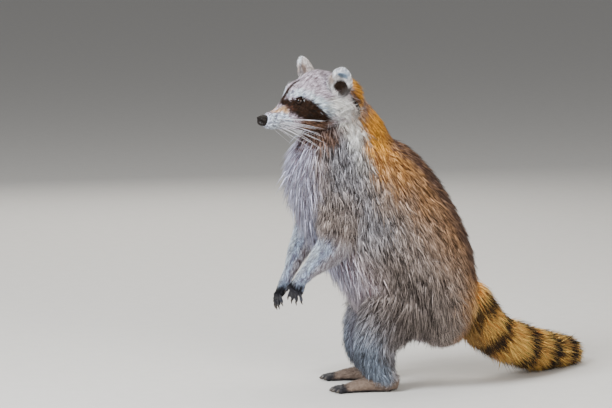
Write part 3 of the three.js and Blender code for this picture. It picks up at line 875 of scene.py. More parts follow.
class Finish:
    """A material with one Principled shader."""

    def __init__(self, name, **constants):
        self.material = bpy.data.materials.new(name)
        self.material.use_nodes = True
        self.tree = self.material.node_tree
        self.shader = self.tree.nodes["Principled BSDF"]
        for socket, value in constants.items():
            self.shader.inputs[socket.replace("_", " ")].default_value = value

    def node(self, kind, settings=None, inputs=None, output=0):
        """Any node: its type, its settings, and the values or links of its sockets by name or number."""
        made = self.tree.nodes.new(kind)
        for key, value in (settings or {}).items():
            if key == "stops":
                ramp = made.color_ramp
                while len(ramp.elements) < len(value):
                    ramp.elements.new(0.5)
                for element, (at, colour) in zip(ramp.elements, value):
                    element.position, element.color = at, (*colour, 1.0)
            else:
                setattr(made, key, value)
        for key, value in (inputs or {}).items():
            self.join(value, made.inputs[key])
        return Wire(self, made.outputs[output])

    def join(self, value, socket):
        """Links a wire to the socket, or sets the socket to a value; a colour of three gets full alpha."""
        if isinstance(value, Wire):
            self.tree.links.new(value.socket, socket)
        elif value is not None:
            colour = isinstance(value, tuple) and len(value) == 3 and socket.type == "RGBA"
            socket.default_value = (*value, 1.0) if colour else value

    def feed(self, **wires):
        """Links wires to the shader's own sockets."""
        for socket, wire in wires.items():
            self.join(wire, self.shader.inputs[socket.replace("_", " ")])

    def place(self):
        """The place in the object, in metres."""
        return self.node("ShaderNodeTexCoord", output="Object")

    def attribute(self, name, output="Color"):
        """The mesh's attribute, as a colour or as a number (Fac)."""
        return self.node("ShaderNodeAttribute", {"attribute_name": name}, output=output)

    def noise(self, scale, detail=2.0, rough=0.5, vector=None):
        """Noise from 0 to 1 with `scale` swells to the metre."""
        sockets = {"Vector": vector or self.place(), "Scale": scale, "Detail": detail, "Roughness": rough}
        return self.node("ShaderNodeTexNoise", {}, sockets)

    def mix(self, factor, a, b, blend="MIX"):
        """Colour a, turned by the factor into b, or into the blend of a and b."""
        settings = {"data_type": "RGBA", "blend_type": blend}
        return self.node("ShaderNodeMix", settings, {0: factor, 6: a, 7: b}, output=2)

    def shaded(self, colour, value):
        """The colour times a number."""
        grey = self.node("ShaderNodeCombineXYZ", {}, {0: value, 1: value, 2: value})
        return self.mix(1.0, colour, grey, "MULTIPLY")

    def bump(self, height, strength, distance):
        """Turns the normal as a relief of that height would, `distance` metres deep at the most."""
        sockets = {"Strength": strength, "Distance": distance, "Height": height}
        self.feed(Normal=self.node("ShaderNodeBump", {}, sockets))


def coat_finish():
    """Hair: the tuft's own colour, grained along its length, a little glossier towards the tip."""
    finish = Finish("raccoon_coat", Specular_IOR_Level=0.2)
    along = finish.attribute("along", "Fac")
    chance = finish.attribute("chance", "Fac")
    grain = finish.noise(620.0, 2.0)
    shade = 0.80 + 0.30 * grain + 0.12 * chance
    finish.feed(Base_Color=finish.shaded(finish.attribute("tone"), shade), Roughness=0.72 - 0.2 * along)
    finish.bump(grain, 0.15, 0.0004)
    return finish.material


def lid_finish():
    """Bare dark skin of the eyelids, matt."""
    finish = Finish("raccoon_lid", Specular_IOR_Level=0.06, Roughness=0.9)
    crease = finish.noise(1400.0, 2.0)
    finish.feed(Base_Color=finish.shaded(finish.attribute("tone"), 0.55 + 0.4 * crease))
    finish.bump(crease, 0.3, 0.0003)
    return finish.material


def skin_finish():
    """Skin under the coat: the markings' colours with fine short hair as bump, drawn out downwards."""
    finish = Finish("raccoon_skin", Specular_IOR_Level=0.3)
    spot = finish.place()
    drawn = finish.node("ShaderNodeMapping", {}, {"Vector": spot, "Scale": (1.0, 1.0, 0.35)})
    hair = finish.noise(900.0, 3.0, 0.6, drawn)
    broad = finish.noise(60.0, 2.0, 0.5, spot)
    shade = 0.66 + 0.42 * hair + 0.2 * broad
    bare = finish.attribute("bare", "Fac")
    finish.feed(Base_Color=finish.shaded(finish.attribute("tone"), shade), Roughness=0.85 - 0.48 * bare)
    finish.bump(hair, 0.5, 0.0006)
    return finish.material


def nose_finish():
    """Moist black nose leather, pebbled."""
    finish = Finish("raccoon_nose", Coat_Roughness=0.2, Coat_IOR=1.4, Specular_IOR_Level=0.14)
    spot = finish.place()
    cells = {"Vector": spot, "Scale": 1100.0, "Smoothness": 0.6}
    pebble = finish.node("ShaderNodeTexVoronoi", {"feature": "SMOOTH_F1"}, cells)
    tone = finish.noise(260.0, 2.0, 0.5, spot)
    finish.feed(Base_Color=finish.mix(tone, linear(6, 4, 3), linear(22, 15, 12)),
                Roughness=0.46 + 0.25 * pebble, Coat_Weight=0.12 - 0.1 * tone)
    finish.bump(pebble, 0.5, 0.0004)
    return finish.material


def eye_finish():
    """A dark brown eye: black pupil, brown iris that darkens to its edge, under a clear wet surface."""
    finish = Finish("raccoon_eye", Coat_Weight=0.3, Coat_Roughness=0.02, Coat_IOR=1.38, Specular_IOR_Level=0.1)
    off = finish.attribute("off_axis", "Fac")
    rays = finish.noise(1500.0, 2.0)
    pupil, iris, edge, white = (0.002, 0.002, 0.002), linear(34, 20, 13), linear(10, 7, 6), linear(40, 30, 26)
    stops = [(0.0, pupil), (0.17, pupil), (0.2, iris), (0.42, linear(26, 15, 10)), (0.5, edge), (0.62, white)]
    ring = finish.node("ShaderNodeValToRGB", {"stops": stops}, {"Fac": off})
    finish.feed(Base_Color=finish.shaded(ring, 0.6 + 0.8 * rays), Roughness=0.08 + 0.05 * rays)
    return finish.material


def horn_finish():
    """Dark claw horn, paler and worn towards the point."""
    finish = Finish("raccoon_claw", Specular_IOR_Level=0.5)
    along = finish.attribute("along", "Fac")
    streak = finish.noise(700.0, 2.0)
    worn = along * 0.7 + streak * 0.2
    finish.feed(Base_Color=finish.mix(worn, linear(22, 19, 18), linear(78, 68, 60)), Roughness=0.32 + 0.25 * streak)
    finish.bump(streak, 0.2, 0.0002)
    return finish.material


def whisker_finish():
    """Stiff whiskers, white, darker at the root."""
    finish = Finish("raccoon_whisker", Specular_IOR_Level=0.6)
    along = finish.attribute("along", "Fac")
    finish.feed(Base_Color=finish.mix(along ** 0.6, linear(110, 100, 98), linear(240, 240, 248)),
                Roughness=0.3 + 0.1 * finish.noise(300.0))
    return finish.material


def floor_finish():
    """Plain pale matt floor with a faint grain."""
    finish = Finish("studio_floor")
    grain = finish.noise(40.0, 3.0)
    finish.feed(Base_Color=finish.mix(grain, linear(186, 183, 178), linear(194, 191, 186)),
                Roughness=0.9 - 0.05 * grain)
    return finish.material


# ---------------------------------------------------------------- pieces

def skin_sources():
    """The lofts that the skin is made from: every part less its coat, with the digits and the ears' hollow shells."""
    grids = []
    counts = {"head": (64, 72), "trunk": (48, 72), "tail": (40, 32)}
    for name, part in PARTS.items():
        if name.startswith("ear_"):
            continue
        grids.append(part.surface(*counts.get(name, (30, 40))))
        if name in PAWS:
            grids += [digit.surface(20, 14) for digit in digits_of(name)]
    pieces = [tube(grid) for grid in grids]
    pieces += [tube(ear_shell(turn)) for turn in SIDES.values()]
    return joined(pieces)


def ear_shell(side):
    """An ear over (radius, angle), from the middle of its back out to the rim and in to the middle of its hollow. The
    back is the far half of an ellipsoid; the front is its near half, or the floor of a smaller one that stands forward
    of it where that is deeper."""
    steps = np.linspace(0.04, 1.0, 16)
    angle = np.linspace(0, 2 * math.pi, 48, endpoint=False)[None]
    wide, thick, tall = EAR_WIDE - 1.2, EAR_THICK - 1.2, EAR_TALL + 0.8

    def at(radius):
        radius = radius[:, None]
        deep = thick * np.sqrt(np.maximum(1 - radius ** 2, 0)) * np.ones_like(angle)
        return wide * radius * np.cos(angle), EAR_TALL + tall * radius * np.sin(angle), deep

    x, z, y = at(np.sin(steps * math.pi / 2))
    back = np.stack([x, -y, z], axis=-1)
    front_steps = steps[::-1][1:]
    x, z, y = at(np.sin(front_steps * math.pi / 2))
    inside = 1 - (x / (EAR_WIDE - 3.4)) ** 2 - ((z - EAR_TALL) / (EAR_TALL - 3)) ** 2
    floor = 8.0 - EAR_THICK * np.sqrt(np.maximum(inside, 0)) * 1.02
    y = np.where(inside > 0, np.minimum(y, floor), y)
    front = np.stack([x, y, z], axis=-1)
    grid = np.concatenate([back, front])
    grid = grid if side < 0 else grid[:, ::-1]
    return grid @ ear_axes(side) + ear_origin(side)


# The solids of flesh, in whose place the skin stands.
FLESH = ["head", "lower_jaw", "ear_left", "ear_right", "neck", "trunk", "tail_base", "tail_middle", "tail_tip"] + [
    f"{name}_{side}"
    for name in ("upper_foreleg", "lower_foreleg", "forepaw", "thigh", "shank", "hindpaw")
    for side in SIDES]


def through(mesh, name, chosen=None, **settings):
    """The mesh after one modifier, as a new mesh; where points are chosen, the modifier works on those alone."""
    carrier = bpy.data.objects.new("carrier", mesh)
    bpy.context.scene.collection.objects.link(carrier)
    modifier = carrier.modifiers.new(name, name)
    for key, value in settings.items():
        setattr(modifier, key, value)
    if chosen is not None:
        carrier.vertex_groups.new(name="chosen").add(np.flatnonzero(chosen).tolist(), 1.0, "REPLACE")
        modifier.vertex_group = "chosen"
    result = bpy.data.meshes.new_from_object(carrier.evaluated_get(bpy.context.evaluated_depsgraph_get()))
    bpy.data.objects.remove(carrier)
    return result


def triangles_of(mesh):
    """The mesh's triangles as rows of three point numbers."""
    mesh.calc_loop_triangles()
    rows = np.empty(len(mesh.loop_triangles) * 3, np.int32)
    mesh.loop_triangles.foreach_get("vertices", rows)
    return rows.reshape(-1, 3)


def normals_of(places, triangles):
    """Point normals: the sum of the normals of the triangles round each point, area weighted."""
    a, b, c = (places[triangles[:, k]] for k in range(3))
    flat = np.cross(b - a, c - a)
    corner = triangles.ravel()
    total = [np.bincount(corner, np.repeat(flat[:, axis], 3), len(places)) for axis in range(3)]
    return unit(np.stack(total, axis=1))


class Skin:
    """The skin's arrays, made once and shared by the pieces that grow from it."""
    made = None


def ink_of(colours):
    """The colour properties as linear arrays by name."""
    return {name: np.array(getattr(colours, name)[:]) for name in INKS}


# The share of the skin's triangles that is kept when the body under the long coat is thinned, and how much of a point
# has to belong to trunk and hind legs for it to count as that body.
SKIN_KEPT = 0.8
ALL_BODY = 0.95
# The lowest place of the skin above the floor.
SKIN_LOW = 0.2


def part_lips(local):
    """A groove along the mouth, 1.3 mm deep: points near the height of the lips, which rises behind the nose, are moved
    towards the middle of the muzzle."""
    rise = 0.12 * np.maximum(30 - local[:, 0], 0)
    lips = np.exp(-((local[:, 2] - MOUTH_HEIGHT - rise) / 1.3) ** 2) * smooth((local[:, 0] - 9) / 6)
    return (unit(local - np.array([0.0, 0.0, -24.0]))[:, 1:] * lips[:, None]) * 1.3


def build_skin(shape, colours):
    """One closed skin: the lofts joined, remeshed in voxels so no seam is left, smoothed, thinned under the body's long
    coat, pressed into the finer forms of the face, and marked."""
    mesh = make_mesh("skin_source", *skin_sources())
    mesh = through(mesh, "REMESH", mode="VOXEL", voxel_size=shape.voxel)
    mesh = through(mesh, "SMOOTH", factor=0.5, iterations=3)
    share = dict(zip(PARTS, describe(places_of(mesh))[1]))
    body = share["trunk"] + share["hindleg_left"] + share["hindleg_right"]
    mesh = through(mesh, "DECIMATE", body > ALL_BODY, ratio=SKIN_KEPT)
    places = places_of(mesh)
    triangles = triangles_of(mesh)
    local = PARTS["head"].into(places)
    moved = press(local, mirrored(FACE_PUSHES, [1, 5]))
    moved[:, 1:] -= part_lips(local)
    places = np.ascontiguousarray(PARTS["head"].out(moved))
    places[:, 2] = np.maximum(places[:, 2], SKIN_LOW)
    mesh.vertices.foreach_set("co", to_row(places).astype(np.float32).ravel())
    mesh.update()
    mesh.shade_smooth()
    found, share = describe(places)
    light, dark, tips = markings(places, found, share, ink_of(colours))
    depth = coat_depth(places, found, share)
    bare = smooth((1.4 - depth) / 0.8)
    hair = np.clip(depth / 6, 0, 1)[:, None]
    set_colour(mesh, "tone", light * (0.55 - 0.35 * hair) + dark * (0.45 + 0.1 * hair))
    set_number(mesh, "bare", bare)
    mesh.name = "skin"
    Skin.made = {
        "places": places, "local": moved, "triangles": triangles, "normals": normals_of(places, triangles),
        "share": share.T, "depth": depth, "lie": coat_lie(places, found, share), "loose": loose(places, found, share),
        "light": light, "dark": dark, "tips": tips,
    }
    for number, key in enumerate(("t", "top", "across"), 1):
        Skin.made[key] = np.stack([found[name][number] for name in NAMES], axis=1)
    return add_piece("skin", mesh, skin_finish(), FLESH)


# Where along the trunk each of its coat pieces ends, from the last to the first, and the piece that each limb grows.
TRUNK_ENDS = (("coat_rump", 2.0), ("coat_flanks", 0.68), ("coat_shoulders", 0.46), ("coat_neck", 0.27))
LIMB_PIECES = {"foreleg": "coat_forelegs", "hindleg": "coat_hindlegs", "tail": "coat_tail",
               "hand": "coat_hands", "foot": "coat_feet", "ear": "coat_ears"}


def growth(skin, triangles):
    """Which coat piece each of the skin's triangles grows, by the part it lies on and its place there."""
    corner = triangles[:, 0]
    part = skin["share"][corner].argmax(axis=1)
    x, z = skin["local"][corner, 0], skin["local"][corner, 2]
    t = skin["t"][corner, NAMES.index("trunk")]
    piece = np.full(len(triangles), -1)
    order = list(COAT_PIECES)
    for number, name in enumerate(NAMES):
        mine = part == number
        if name == "head":
            piece[mine] = order.index("coat_crown")
            piece[mine & (z < 2)] = order.index("coat_cheeks")
            piece[mine & (x > -20)] = order.index("coat_face")
        elif name == "trunk":
            for piece_name, end in TRUNK_ENDS:
                piece[mine & (t < end)] = order.index(piece_name)
        else:
            piece[mine] = order.index(LIMB_PIECES[name.split("_")[0]])
    return piece




# Each coat piece: how many tufts, how wide they are for their length, how strongly they gather, and its slot.
COAT_PIECES = {
    "coat_face": (31000, 1.15, 0.20, "coat_grizzled"),
    "coat_crown": (16000, 1.1, 0.35, "coat_grizzled"),
    "coat_cheeks": (19000, 1.0, 0.40, "coat_grizzled"),
    "coat_ears": (8000, 0.8, 0.15, "coat_pale"),
    "coat_neck": (19000, 1.0, 0.52, "coat_ochre"),
    "coat_shoulders": (25000, 1.0, 0.52, "coat_grizzled"),
    "coat_flanks": (24000, 1.0, 0.52, "coat_grizzled"),
    "coat_rump": (22000, 1.0, 0.52, "coat_grizzled"),
    "coat_forelegs": (20000, 0.8, 0.30, "coat_pale"),
    "coat_hands": (5000, 0.8, 0.10, "paw_skin"),
    "coat_hindlegs": (28000, 0.85, 0.52, "coat_grizzled"),
    "coat_feet": (4500, 0.8, 0.15, "paw_skin"),
    "coat_tail": (26000, 1.0, 0.30, "coat_ringed"),
}


def roots_on(skin, triangles, count, rng):
    """Roots spread over triangles, evenly by area times how short the coat is there, and the skin's values at them."""
    a, b, c = (skin["places"][triangles[:, k]] for k in range(3))
    area = np.linalg.norm(np.cross(b - a, c - a), axis=1) / 2
    depth = skin["depth"][triangles].mean(axis=1)
    wanted = np.cumsum(area / (1.6 + depth) ** 0.55)
    draw = (np.arange(count) + rng.random(count)) / count * wanted[-1]
    chosen = triangles[np.minimum(np.searchsorted(wanted, draw), len(triangles) - 1)]
    u, v = rng.random((2, count))
    turn = u + v > 1
    u, v = np.where(turn, 1 - u, u), np.where(turn, 1 - v, v)
    weight = np.stack([1 - u - v, u, v], axis=1)
    keys = ("places", "normals", "lie", "light", "dark", "tips", "depth", "loose", "t", "top", "across", "share",
            "local")
    return {key: np.einsum("nk,nk...->n...", weight, skin[key][chosen]) for key in keys}


def gather(places, size, seed):
    """A number for the lock each place belongs to: cells of a turned grid whose walls are bent by smooth noise."""
    rng = np.random.default_rng(seed)
    turn = np.linalg.qr(rng.normal(size=(3, 3)))[0]
    bent = places + np.stack([mottle(places, size * 3.1, seed + k) for k in range(3)], axis=1) * size * 0.55
    cell = np.floor(bent @ turn / size).astype(np.int64)
    return np.unique(cell @ np.array([1, 4099, 16785409]), return_inverse=True)[1]


def mean_of(values, lock):
    """The mean of the values in each lock, given back for each member."""
    count = np.bincount(lock)
    return np.stack([np.bincount(lock, values[:, k]) / count for k in range(values.shape[1])], axis=1)[lock]


# How far below the skin a tuft is rooted, and how high its middle and its tip stay above the floor, in millimetres.
ROOT_SUNK, MIDDLE_LOW, TIP_LOW = 0.8, 1.0, 0.4
# A tuft's faces by its five points: root, three round its middle, tip.
TUFT_FACES = np.array([[0, 2, 1], [0, 3, 2], [0, 1, 3], [4, 1, 2], [4, 2, 3], [4, 3, 1]])
# The coat's brightest colour.
BRIGHTEST = 0.96
# Each tuft's patch in its bake chart, and the chart's free edge.
CHART_PATCH = np.array([[0, -0.5], [0.5, -0.1], [0, 0.0], [-0.5, -0.1], [0, 0.5]]) * 0.003
CHART_EDGE = 0.002


def chart_of(root):
    """Where each tuft lies in the bake chart: each part has its own strip, t across it and the angle up it."""
    part = root["share"].argmax(axis=1)
    row = np.arange(len(part))
    t = root["t"][row, part]
    angle = np.arctan2(root["across"][row, part], root["top"][row, part]) / (2 * math.pi) + 0.5
    present, strip = np.unique(part, return_inverse=True)
    across = 0.01 + 0.98 * (t - t.min()) / max(np.ptp(t), 1e-6)
    centre = np.stack([across, (strip + 0.02 + 0.96 * angle) / len(present)], axis=1)
    return np.clip(centre[:, None] + CHART_PATCH, CHART_EDGE, 1 - CHART_EDGE).reshape(-1, 2)


def grow(name, skin, triangles, coat, seed):
    """Tufts as closed three-sided spindles. Root r, skin normal n, lie f: with run = sqrt(length² - height²) the tuft
    passes r + 0.4 run f + 0.64 height n and ends at r + run f + height n, then leans towards its lock's mean tip."""
    count, breadth, gathering, slot = COAT_PIECES[name]
    count = int(count * coat.density)
    rng = np.random.default_rng(seed)
    root = roots_on(skin, triangles, count, rng)
    r, n, depth = root["places"], unit(root["normals"]), root["depth"]
    lock = gather(r, np.median(depth) * 0.03 + 2.4, seed)
    locks = lock.max() + 1
    lock_chance = rng.random(locks)[lock]
    lock_turn = rng.normal(size=(locks, 3))[lock]
    chance = rng.random(count)
    lie = unit(root["lie"]) + 0.20 * lock_turn + 0.16 * rng.normal(size=(count, 3))
    f = unit(lie - (lie * n).sum(axis=1, keepdims=True) * n)
    length = (2.2 + 1.75 * depth) * coat.length * (0.72 + 0.5 * rng.random(count)) * (0.85 + 0.3 * lock_chance)
    height = np.minimum(depth * (0.48 + 0.62 * rng.random(count) ** 0.7) * (0.78 + 0.38 * lock_chance), 0.8 * length)
    length = length * (1 + 0.4 * root["loose"])
    height = height * (1 + root["loose"] * (0.05 + 0.9 * rng.random(count) ** 4))
    run = np.sqrt(length ** 2 - height ** 2)
    middle = r + f * (0.40 * run)[:, None] + n * (0.64 * height)[:, None]
    tip = r + f * run[:, None] + n * height[:, None]
    tip[:, 2] -= 0.05 * length
    if gathering:
        draw = gathering * (0.6 + 0.6 * lock_chance)
        tip += (mean_of(tip, lock) - tip) * draw[:, None]
        middle += (mean_of(middle, lock) - middle) * (0.35 * draw)[:, None]
    tip[:, 2] = np.maximum(tip[:, 2], TIP_LOW)
    middle[:, 2] = np.maximum(middle[:, 2], MIDDLE_LOW)
    ahead = unit(tip - r)
    side = unit(np.cross(ahead, n))
    above = np.cross(side, ahead)
    width = (coat.width / MM) * breadth * (0.40 + 0.028 * length) * (0.7 + 0.6 * rng.random(count))
    half = (width / 2)[:, None]
    ring = [middle + side * half, middle + above * half * 0.9, middle - side * half]
    places = np.stack([r - n * ROOT_SUNK, *ring, tip], axis=1)
    faces = ((np.arange(count) * 5)[:, None, None] + TUFT_FACES).reshape(-1, 3)
    mesh = make_mesh(name, places.reshape(-1, 3), faces)

    # Colour: dark underfur, a light band, and on some a dark tip; whole locks run lighter or darker.
    light, dark = root["light"], root["dark"]
    head = name in ("coat_face", "coat_crown", "coat_cheeks")
    streak = mottle(root["local"] * [0.28, 1, 1] if head else r * [1, 1, 0.28], 3.6, seed)
    even = 0.42 + 1.4 * (lock_chance - 0.5) + 1.2 * (chance - 0.5)
    tone = np.clip(even + (0.9 if head else 1.2) * streak, 0, 1)[:, None] ** 1.25
    dark_tip = (rng.random(count) < root["tips"])[:, None]
    vary = 0.88 + 0.24 * rng.random((count, 1))
    low = dark * 0.7
    mid = dark + (light - dark) * (0.02 + 0.84 * tone)
    high = np.where(dark_tip, dark * 0.8, light * (0.55 + 0.60 * tone))
    short = smooth((3.0 - depth) / 2.0)[:, None]
    low = low + (mid - low) * 0.6 * short
    tones = np.clip(np.stack([low, mid, mid, mid, high], axis=1) * vary[:, None], 0, BRIGHTEST)
    set_colour(mesh, "tone", tones.reshape(-1, 3))
    set_number(mesh, "along", np.tile([0, 0.4, 0.4, 0.4, 1.0], count))
    set_number(mesh, "chance", np.repeat(chance, 5))
    mesh.uv_layers.new(name="OFBake").data.foreach_set("uv", chart_of(root)[faces.ravel()].astype(np.float32).ravel())
    return mesh, slot


def build_coat(coat):
    """All the coat pieces over the skin."""
    skin = Skin.made
    triangles = skin["triangles"]
    piece = growth(skin, triangles)
    bare = bare_places(skin["places"], skin["local"])
    keep = ~bare[triangles].any(axis=1)
    material = coat_finish()
    for number, name in enumerate(COAT_PIECES):
        mesh, slot = grow(name, skin, triangles[(piece == number) & keep], coat, SEED + number)
        add_piece(name, mesh, material)


def bare_places(places, local):
    """Skin without hair: within the lids, under the nose pad, and on the digits past the knuckles."""
    folded = local.copy()
    folded[:, 1] = np.abs(folded[:, 1])
    eye = np.linalg.norm(folded - (EYE_PLACE + 0.6 * EYE_RADIUS * unit(EYE_LOOK)), axis=1) < 6.2
    nose = np.linalg.norm((folded - NOSE_PLACE) / (NOSE_SIZE + 0.2), axis=1) < 1.0
    digits = np.zeros(len(local), bool)
    for name in PAWS:
        own = PARTS[name].into(places)
        out = own[:, 0] - paw_of(name)["bare"]
        digits |= (out > 0) & (out < 45) & (np.linalg.norm(own[:, 1:], axis=1) < 40)
    return eye | nose | digits


def eye_frame(side):
    """Across, up and out of an eye, in the head's frame."""
    out = unit(mirror(EYE_LOOK, side))
    across = unit(np.cross([0, 0, 1.0], out))
    return across, np.cross(out, across), out


def round_eye(side, off, turn, radius):
    """Places at a distance from an eye's centre, in the animal's frame: off its axis by one angle and round it by the
    other, as centre + radius (sin off (cos turn across + sin turn up) + cos off out)."""
    across, up, out = eye_frame(side)
    round_axis = np.cos(turn)[..., None] * across + np.sin(turn)[..., None] * up
    ray = np.sin(off)[..., None] * round_axis + np.cos(off)[..., None] * out
    return PARTS["head"].out(mirror(EYE_PLACE, side) + radius[..., None] * ray)


# The cornea's height over the globe, and how far off the axis it reaches, in radians.
CORNEA_HIGH, CORNEA_WIDE = 0.45, 0.55


def build_eyes(shape):
    """Each globe over (angle off its axis, angle round it): radius + cornea's height times exp(-(off/its width)²)."""
    off = np.linspace(0.02, math.pi - 0.02, 36)[:, None]
    turn = np.linspace(0, 2 * math.pi, 48, endpoint=False)[None]
    material = eye_finish()
    for name, side in SIDES.items():
        radius = shape.eye_radius / MM + CORNEA_HIGH * np.exp(-(off / CORNEA_WIDE) ** 2)
        mesh = make_mesh("eyeball_" + name, *tube(round_eye(side, off, turn, radius)[:, ::-1]))
        set_number(mesh, "off_axis", np.concatenate([np.repeat(off.ravel() / math.pi * 2, turn.size), [0, 2]]))
        add_piece("eyeball_" + name, mesh, material, ["eye_" + name])


# The opening between the lids: half its width and half its height, in degrees.
LIDS_WIDE, LIDS_TALL = 47, 37
# A lid's section: angle beyond the opening in degrees, and distance from the eye's centre.
LID = np.array([
    [-1.0, 6.9], [-2.5, 7.35], [0.5, 7.65], [6, 7.8], [14, 7.9],
    [26, 7.9], [40, 7.7], [54, 7.1], [54, 6.3], [24, 6.5],
])


def build_lids(colours):
    """Eyelids as one closed ring round each eye: the section carried round an opening whose half angle is
    sqrt((wide cos)² + (tall sin)²), drawn out at both corners, with the upper lid raised and creased."""
    turn = np.linspace(0, 2 * math.pi, 56, endpoint=False)[:, None]
    beyond, far = LID.T
    ink = ink_of(colours)
    pieces, tones, wet = [], [], []
    for side in SIDES.values():
        inner = -side * np.cos(turn)
        opening = np.sqrt((LIDS_WIDE * np.cos(turn)) ** 2 + (LIDS_TALL * np.sin(turn)) ** 2)
        opening = opening + 9 * np.clip(inner, 0, 1) ** 6 + 3 * np.clip(-inner, 0, 1) ** 4
        crease = 0.25 * np.exp(-((beyond - 20) / 6) ** 2) * (np.sin(turn) > 0)
        radius = far + 0.35 * np.clip(np.sin(turn), 0, 1) * (beyond > 0) - crease
        grid = round_eye(side, np.radians(opening + beyond), turn, radius)
        rows, columns = grid.shape[:2]
        i, j = np.arange(rows)[:, None], np.arange(columns)[None]
        ni, nj = (i + 1) % rows, (j + 1) % columns
        corners = [i * columns + j, i * columns + nj, ni * columns + nj, ni * columns + j]
        quads = np.stack(corners, axis=-1).reshape(-1, 4)
        pieces.append((grid.reshape(-1, 3), quads, np.zeros((0, 3), int)))
        margin = np.tile(smooth((4 - beyond) / 5), rows)
        wet.append(margin)
        tones.append(tint(np.zeros((rows * columns, 3)) + ink["mask_dark"], margin, ink["lip"]))
    mesh = make_mesh("eyelids", *joined(pieces))
    set_colour(mesh, "tone", np.vstack(tones))
    set_number(mesh, "bare", np.concatenate(wet))
    return add_piece("eyelids", mesh, lid_finish())


# The nose pad's hollows and swellings: x, y, z, reach, then the push; the right side mirrors the left.
NOSE_PUSHES = np.array([
    [55.0, 4.2, -21.5, 1.7, -3.4, -0.6, 0.0],
    [53.0, 6.6, -23.0, 1.3, -2.2, -1.6, 0.0],
    [50.0, 8.2, -24.2, 1.2, -0.6, -1.8, 0.0],
    [53.0, 6.2, -18.6, 2.2, 0.5, 0.9, 0.5],
    [52.0, 7.0, -26.5, 2.0, 0.4, 0.6, -0.3],
], float)


def build_nose():
    """The nose pad over (angle from the front, angle round): an ellipsoid flattened on top, with two comma nostrils
    and a groove down its middle."""
    off = np.linspace(0.03, math.pi - 0.03, 60)[:, None]
    turn = np.linspace(0, 2 * math.pi, 80, endpoint=False)[None]
    x, y, z = np.cos(off) * np.ones_like(turn), np.sin(off) * np.cos(turn), np.sin(off) * np.sin(turn)
    z = np.where(z > 0, z * 0.92, z)
    body = np.stack([x, y, z], axis=-1) * NOSE_SIZE + NOSE_PLACE
    groove = np.exp(-(body[..., 1] / 0.7) ** 2) * smooth((body[..., 0] - 50) / 3) * smooth((-19 - body[..., 2]) / 3)
    body[..., 0] -= 1.1 * groove
    body = press(body, mirrored(NOSE_PUSHES, [1, 5]))
    mesh = make_mesh("nose_pad", *tube(PARTS["head"].out(body)[:, ::-1]))
    return add_piece("nose_pad", mesh, nose_finish(), ["nose"])


# The lowest place of a claw above the floor.
CLAW_LOW = 0.1


def build_claws():
    """A claw on each of the 20 digits: a curved cone, one half width from base to point."""
    pieces = []
    for name in PAWS:
        for claw in digits_of(name, claw=True):
            grid = claw.surface(12, 10)
            grid[..., 2] = np.maximum(grid[..., 2], CLAW_LOW)
            pieces.append(tube(grid))
    mesh = make_mesh("claws", *joined(pieces))
    along = np.concatenate([np.repeat(np.linspace(0, 1, 13), 10), [0, 1]])
    set_number(mesh, "along", np.tile(along, len(pieces)))
    return add_piece("claws", mesh, horn_finish())


# Where along a whisker its rings of three points lie.
BRISTLE_STEPS = (0, 0.2, 0.4, 0.6, 0.8, 0.97)


def bristles(root, middle, tip, thick):
    """Closed tapering three-sided hairs along the curve (1-s)² root + 2 s (1-s) middle + s² tip, as whole arrays."""
    s = np.array(BRISTLE_STEPS)[None, :, None]
    line = (1 - s) ** 2 * root[:, None] + 2 * s * (1 - s) * middle[:, None] + s ** 2 * tip[:, None]
    ahead = unit(np.gradient(line, axis=1))
    side = unit(np.cross(ahead, [0.3, 0.2, 0.93]))
    above = np.cross(side, ahead)
    angle = np.array([0.0, 2.094, 4.189])[None, None, :, None]
    radius = thick[:, None, None, None] * (1 - 0.85 * s[..., None])
    return line[:, :, None] + radius * (np.cos(angle) * side[:, :, None] + np.sin(angle) * above[:, :, None])


def build_whiskers(shape):
    """Whiskers from four rows on each side of the muzzle, sweeping out, back and down past the cheek, and a few over
    each eye."""
    rng = np.random.default_rng(SEED + 90)
    count = 15
    row = np.arange(count) % 5
    step = np.arange(count) // 5
    root = np.stack([40.0 - 6 * step - 1.0 * row, 9.0 + 3.4 * step - 0.15 * row, -21.5 - 2.2 * row], axis=1)
    root += rng.normal(size=root.shape) * 0.4
    tip = np.stack([-14.0 - 6 * step - 5 * rng.random(count), 36 + 4 * step + 8 * (4 - row) / 4,
                    -24 - 11.5 * row - 5 * rng.random(count)], axis=1)
    tip[0] = [-24, 56.0, -27.0]
    root[0] = [19, 24.0, -21.0]
    brow_root = np.array([[1.0, 15, 12.5], [-2.0, 18, 13], [-5.0, 21, 12.5]])
    brow_tip = brow_root + np.array([[-12, 9, 11], [-15, 12, 9], [-18, 14, 6]])
    root, tip = np.vstack([root, brow_root]), np.vstack([tip, brow_tip])
    tip = root + (tip - root) * shape.whisker_reach
    bulge = np.array([0.0, 9.0, 2.0]) * np.linalg.norm(tip - root, axis=1, keepdims=True) / 55
    middle = (root + tip) / 2 + bulge
    thick = np.full(len(root), 0.42)
    thick[-3:] = 0.2
    rings = np.concatenate([bristles(*(mirror(line, side) for line in (root, middle, tip)), thick)
                            for side in SIDES.values()])
    mesh = make_mesh("whiskers", *joined([tube(PARTS["head"].out(ring)) for ring in rings]))
    along = np.concatenate([np.repeat([*BRISTLE_STEPS[:-1], 1.0], rings.shape[2]), [0, 1]])
    set_number(mesh, "along", np.tile(along, len(rings)))
    return add_piece("whiskers", mesh, whisker_finish())


# ---------------------------------------------------------------- stage

# The render's width in pixels, the sensor's in millimetres, a pixel's at the raccoon in millimetres, and the camera's
# distance in millimetres, its angle above level in degrees, and its aim.
FRAME_WIDE = 612
SENSOR = 36.0
PIXEL = 1.45
DISTANCE = 5000.0
RAISED = 6.5
AIM = np.array([-136.3, 0.0, 267.2])


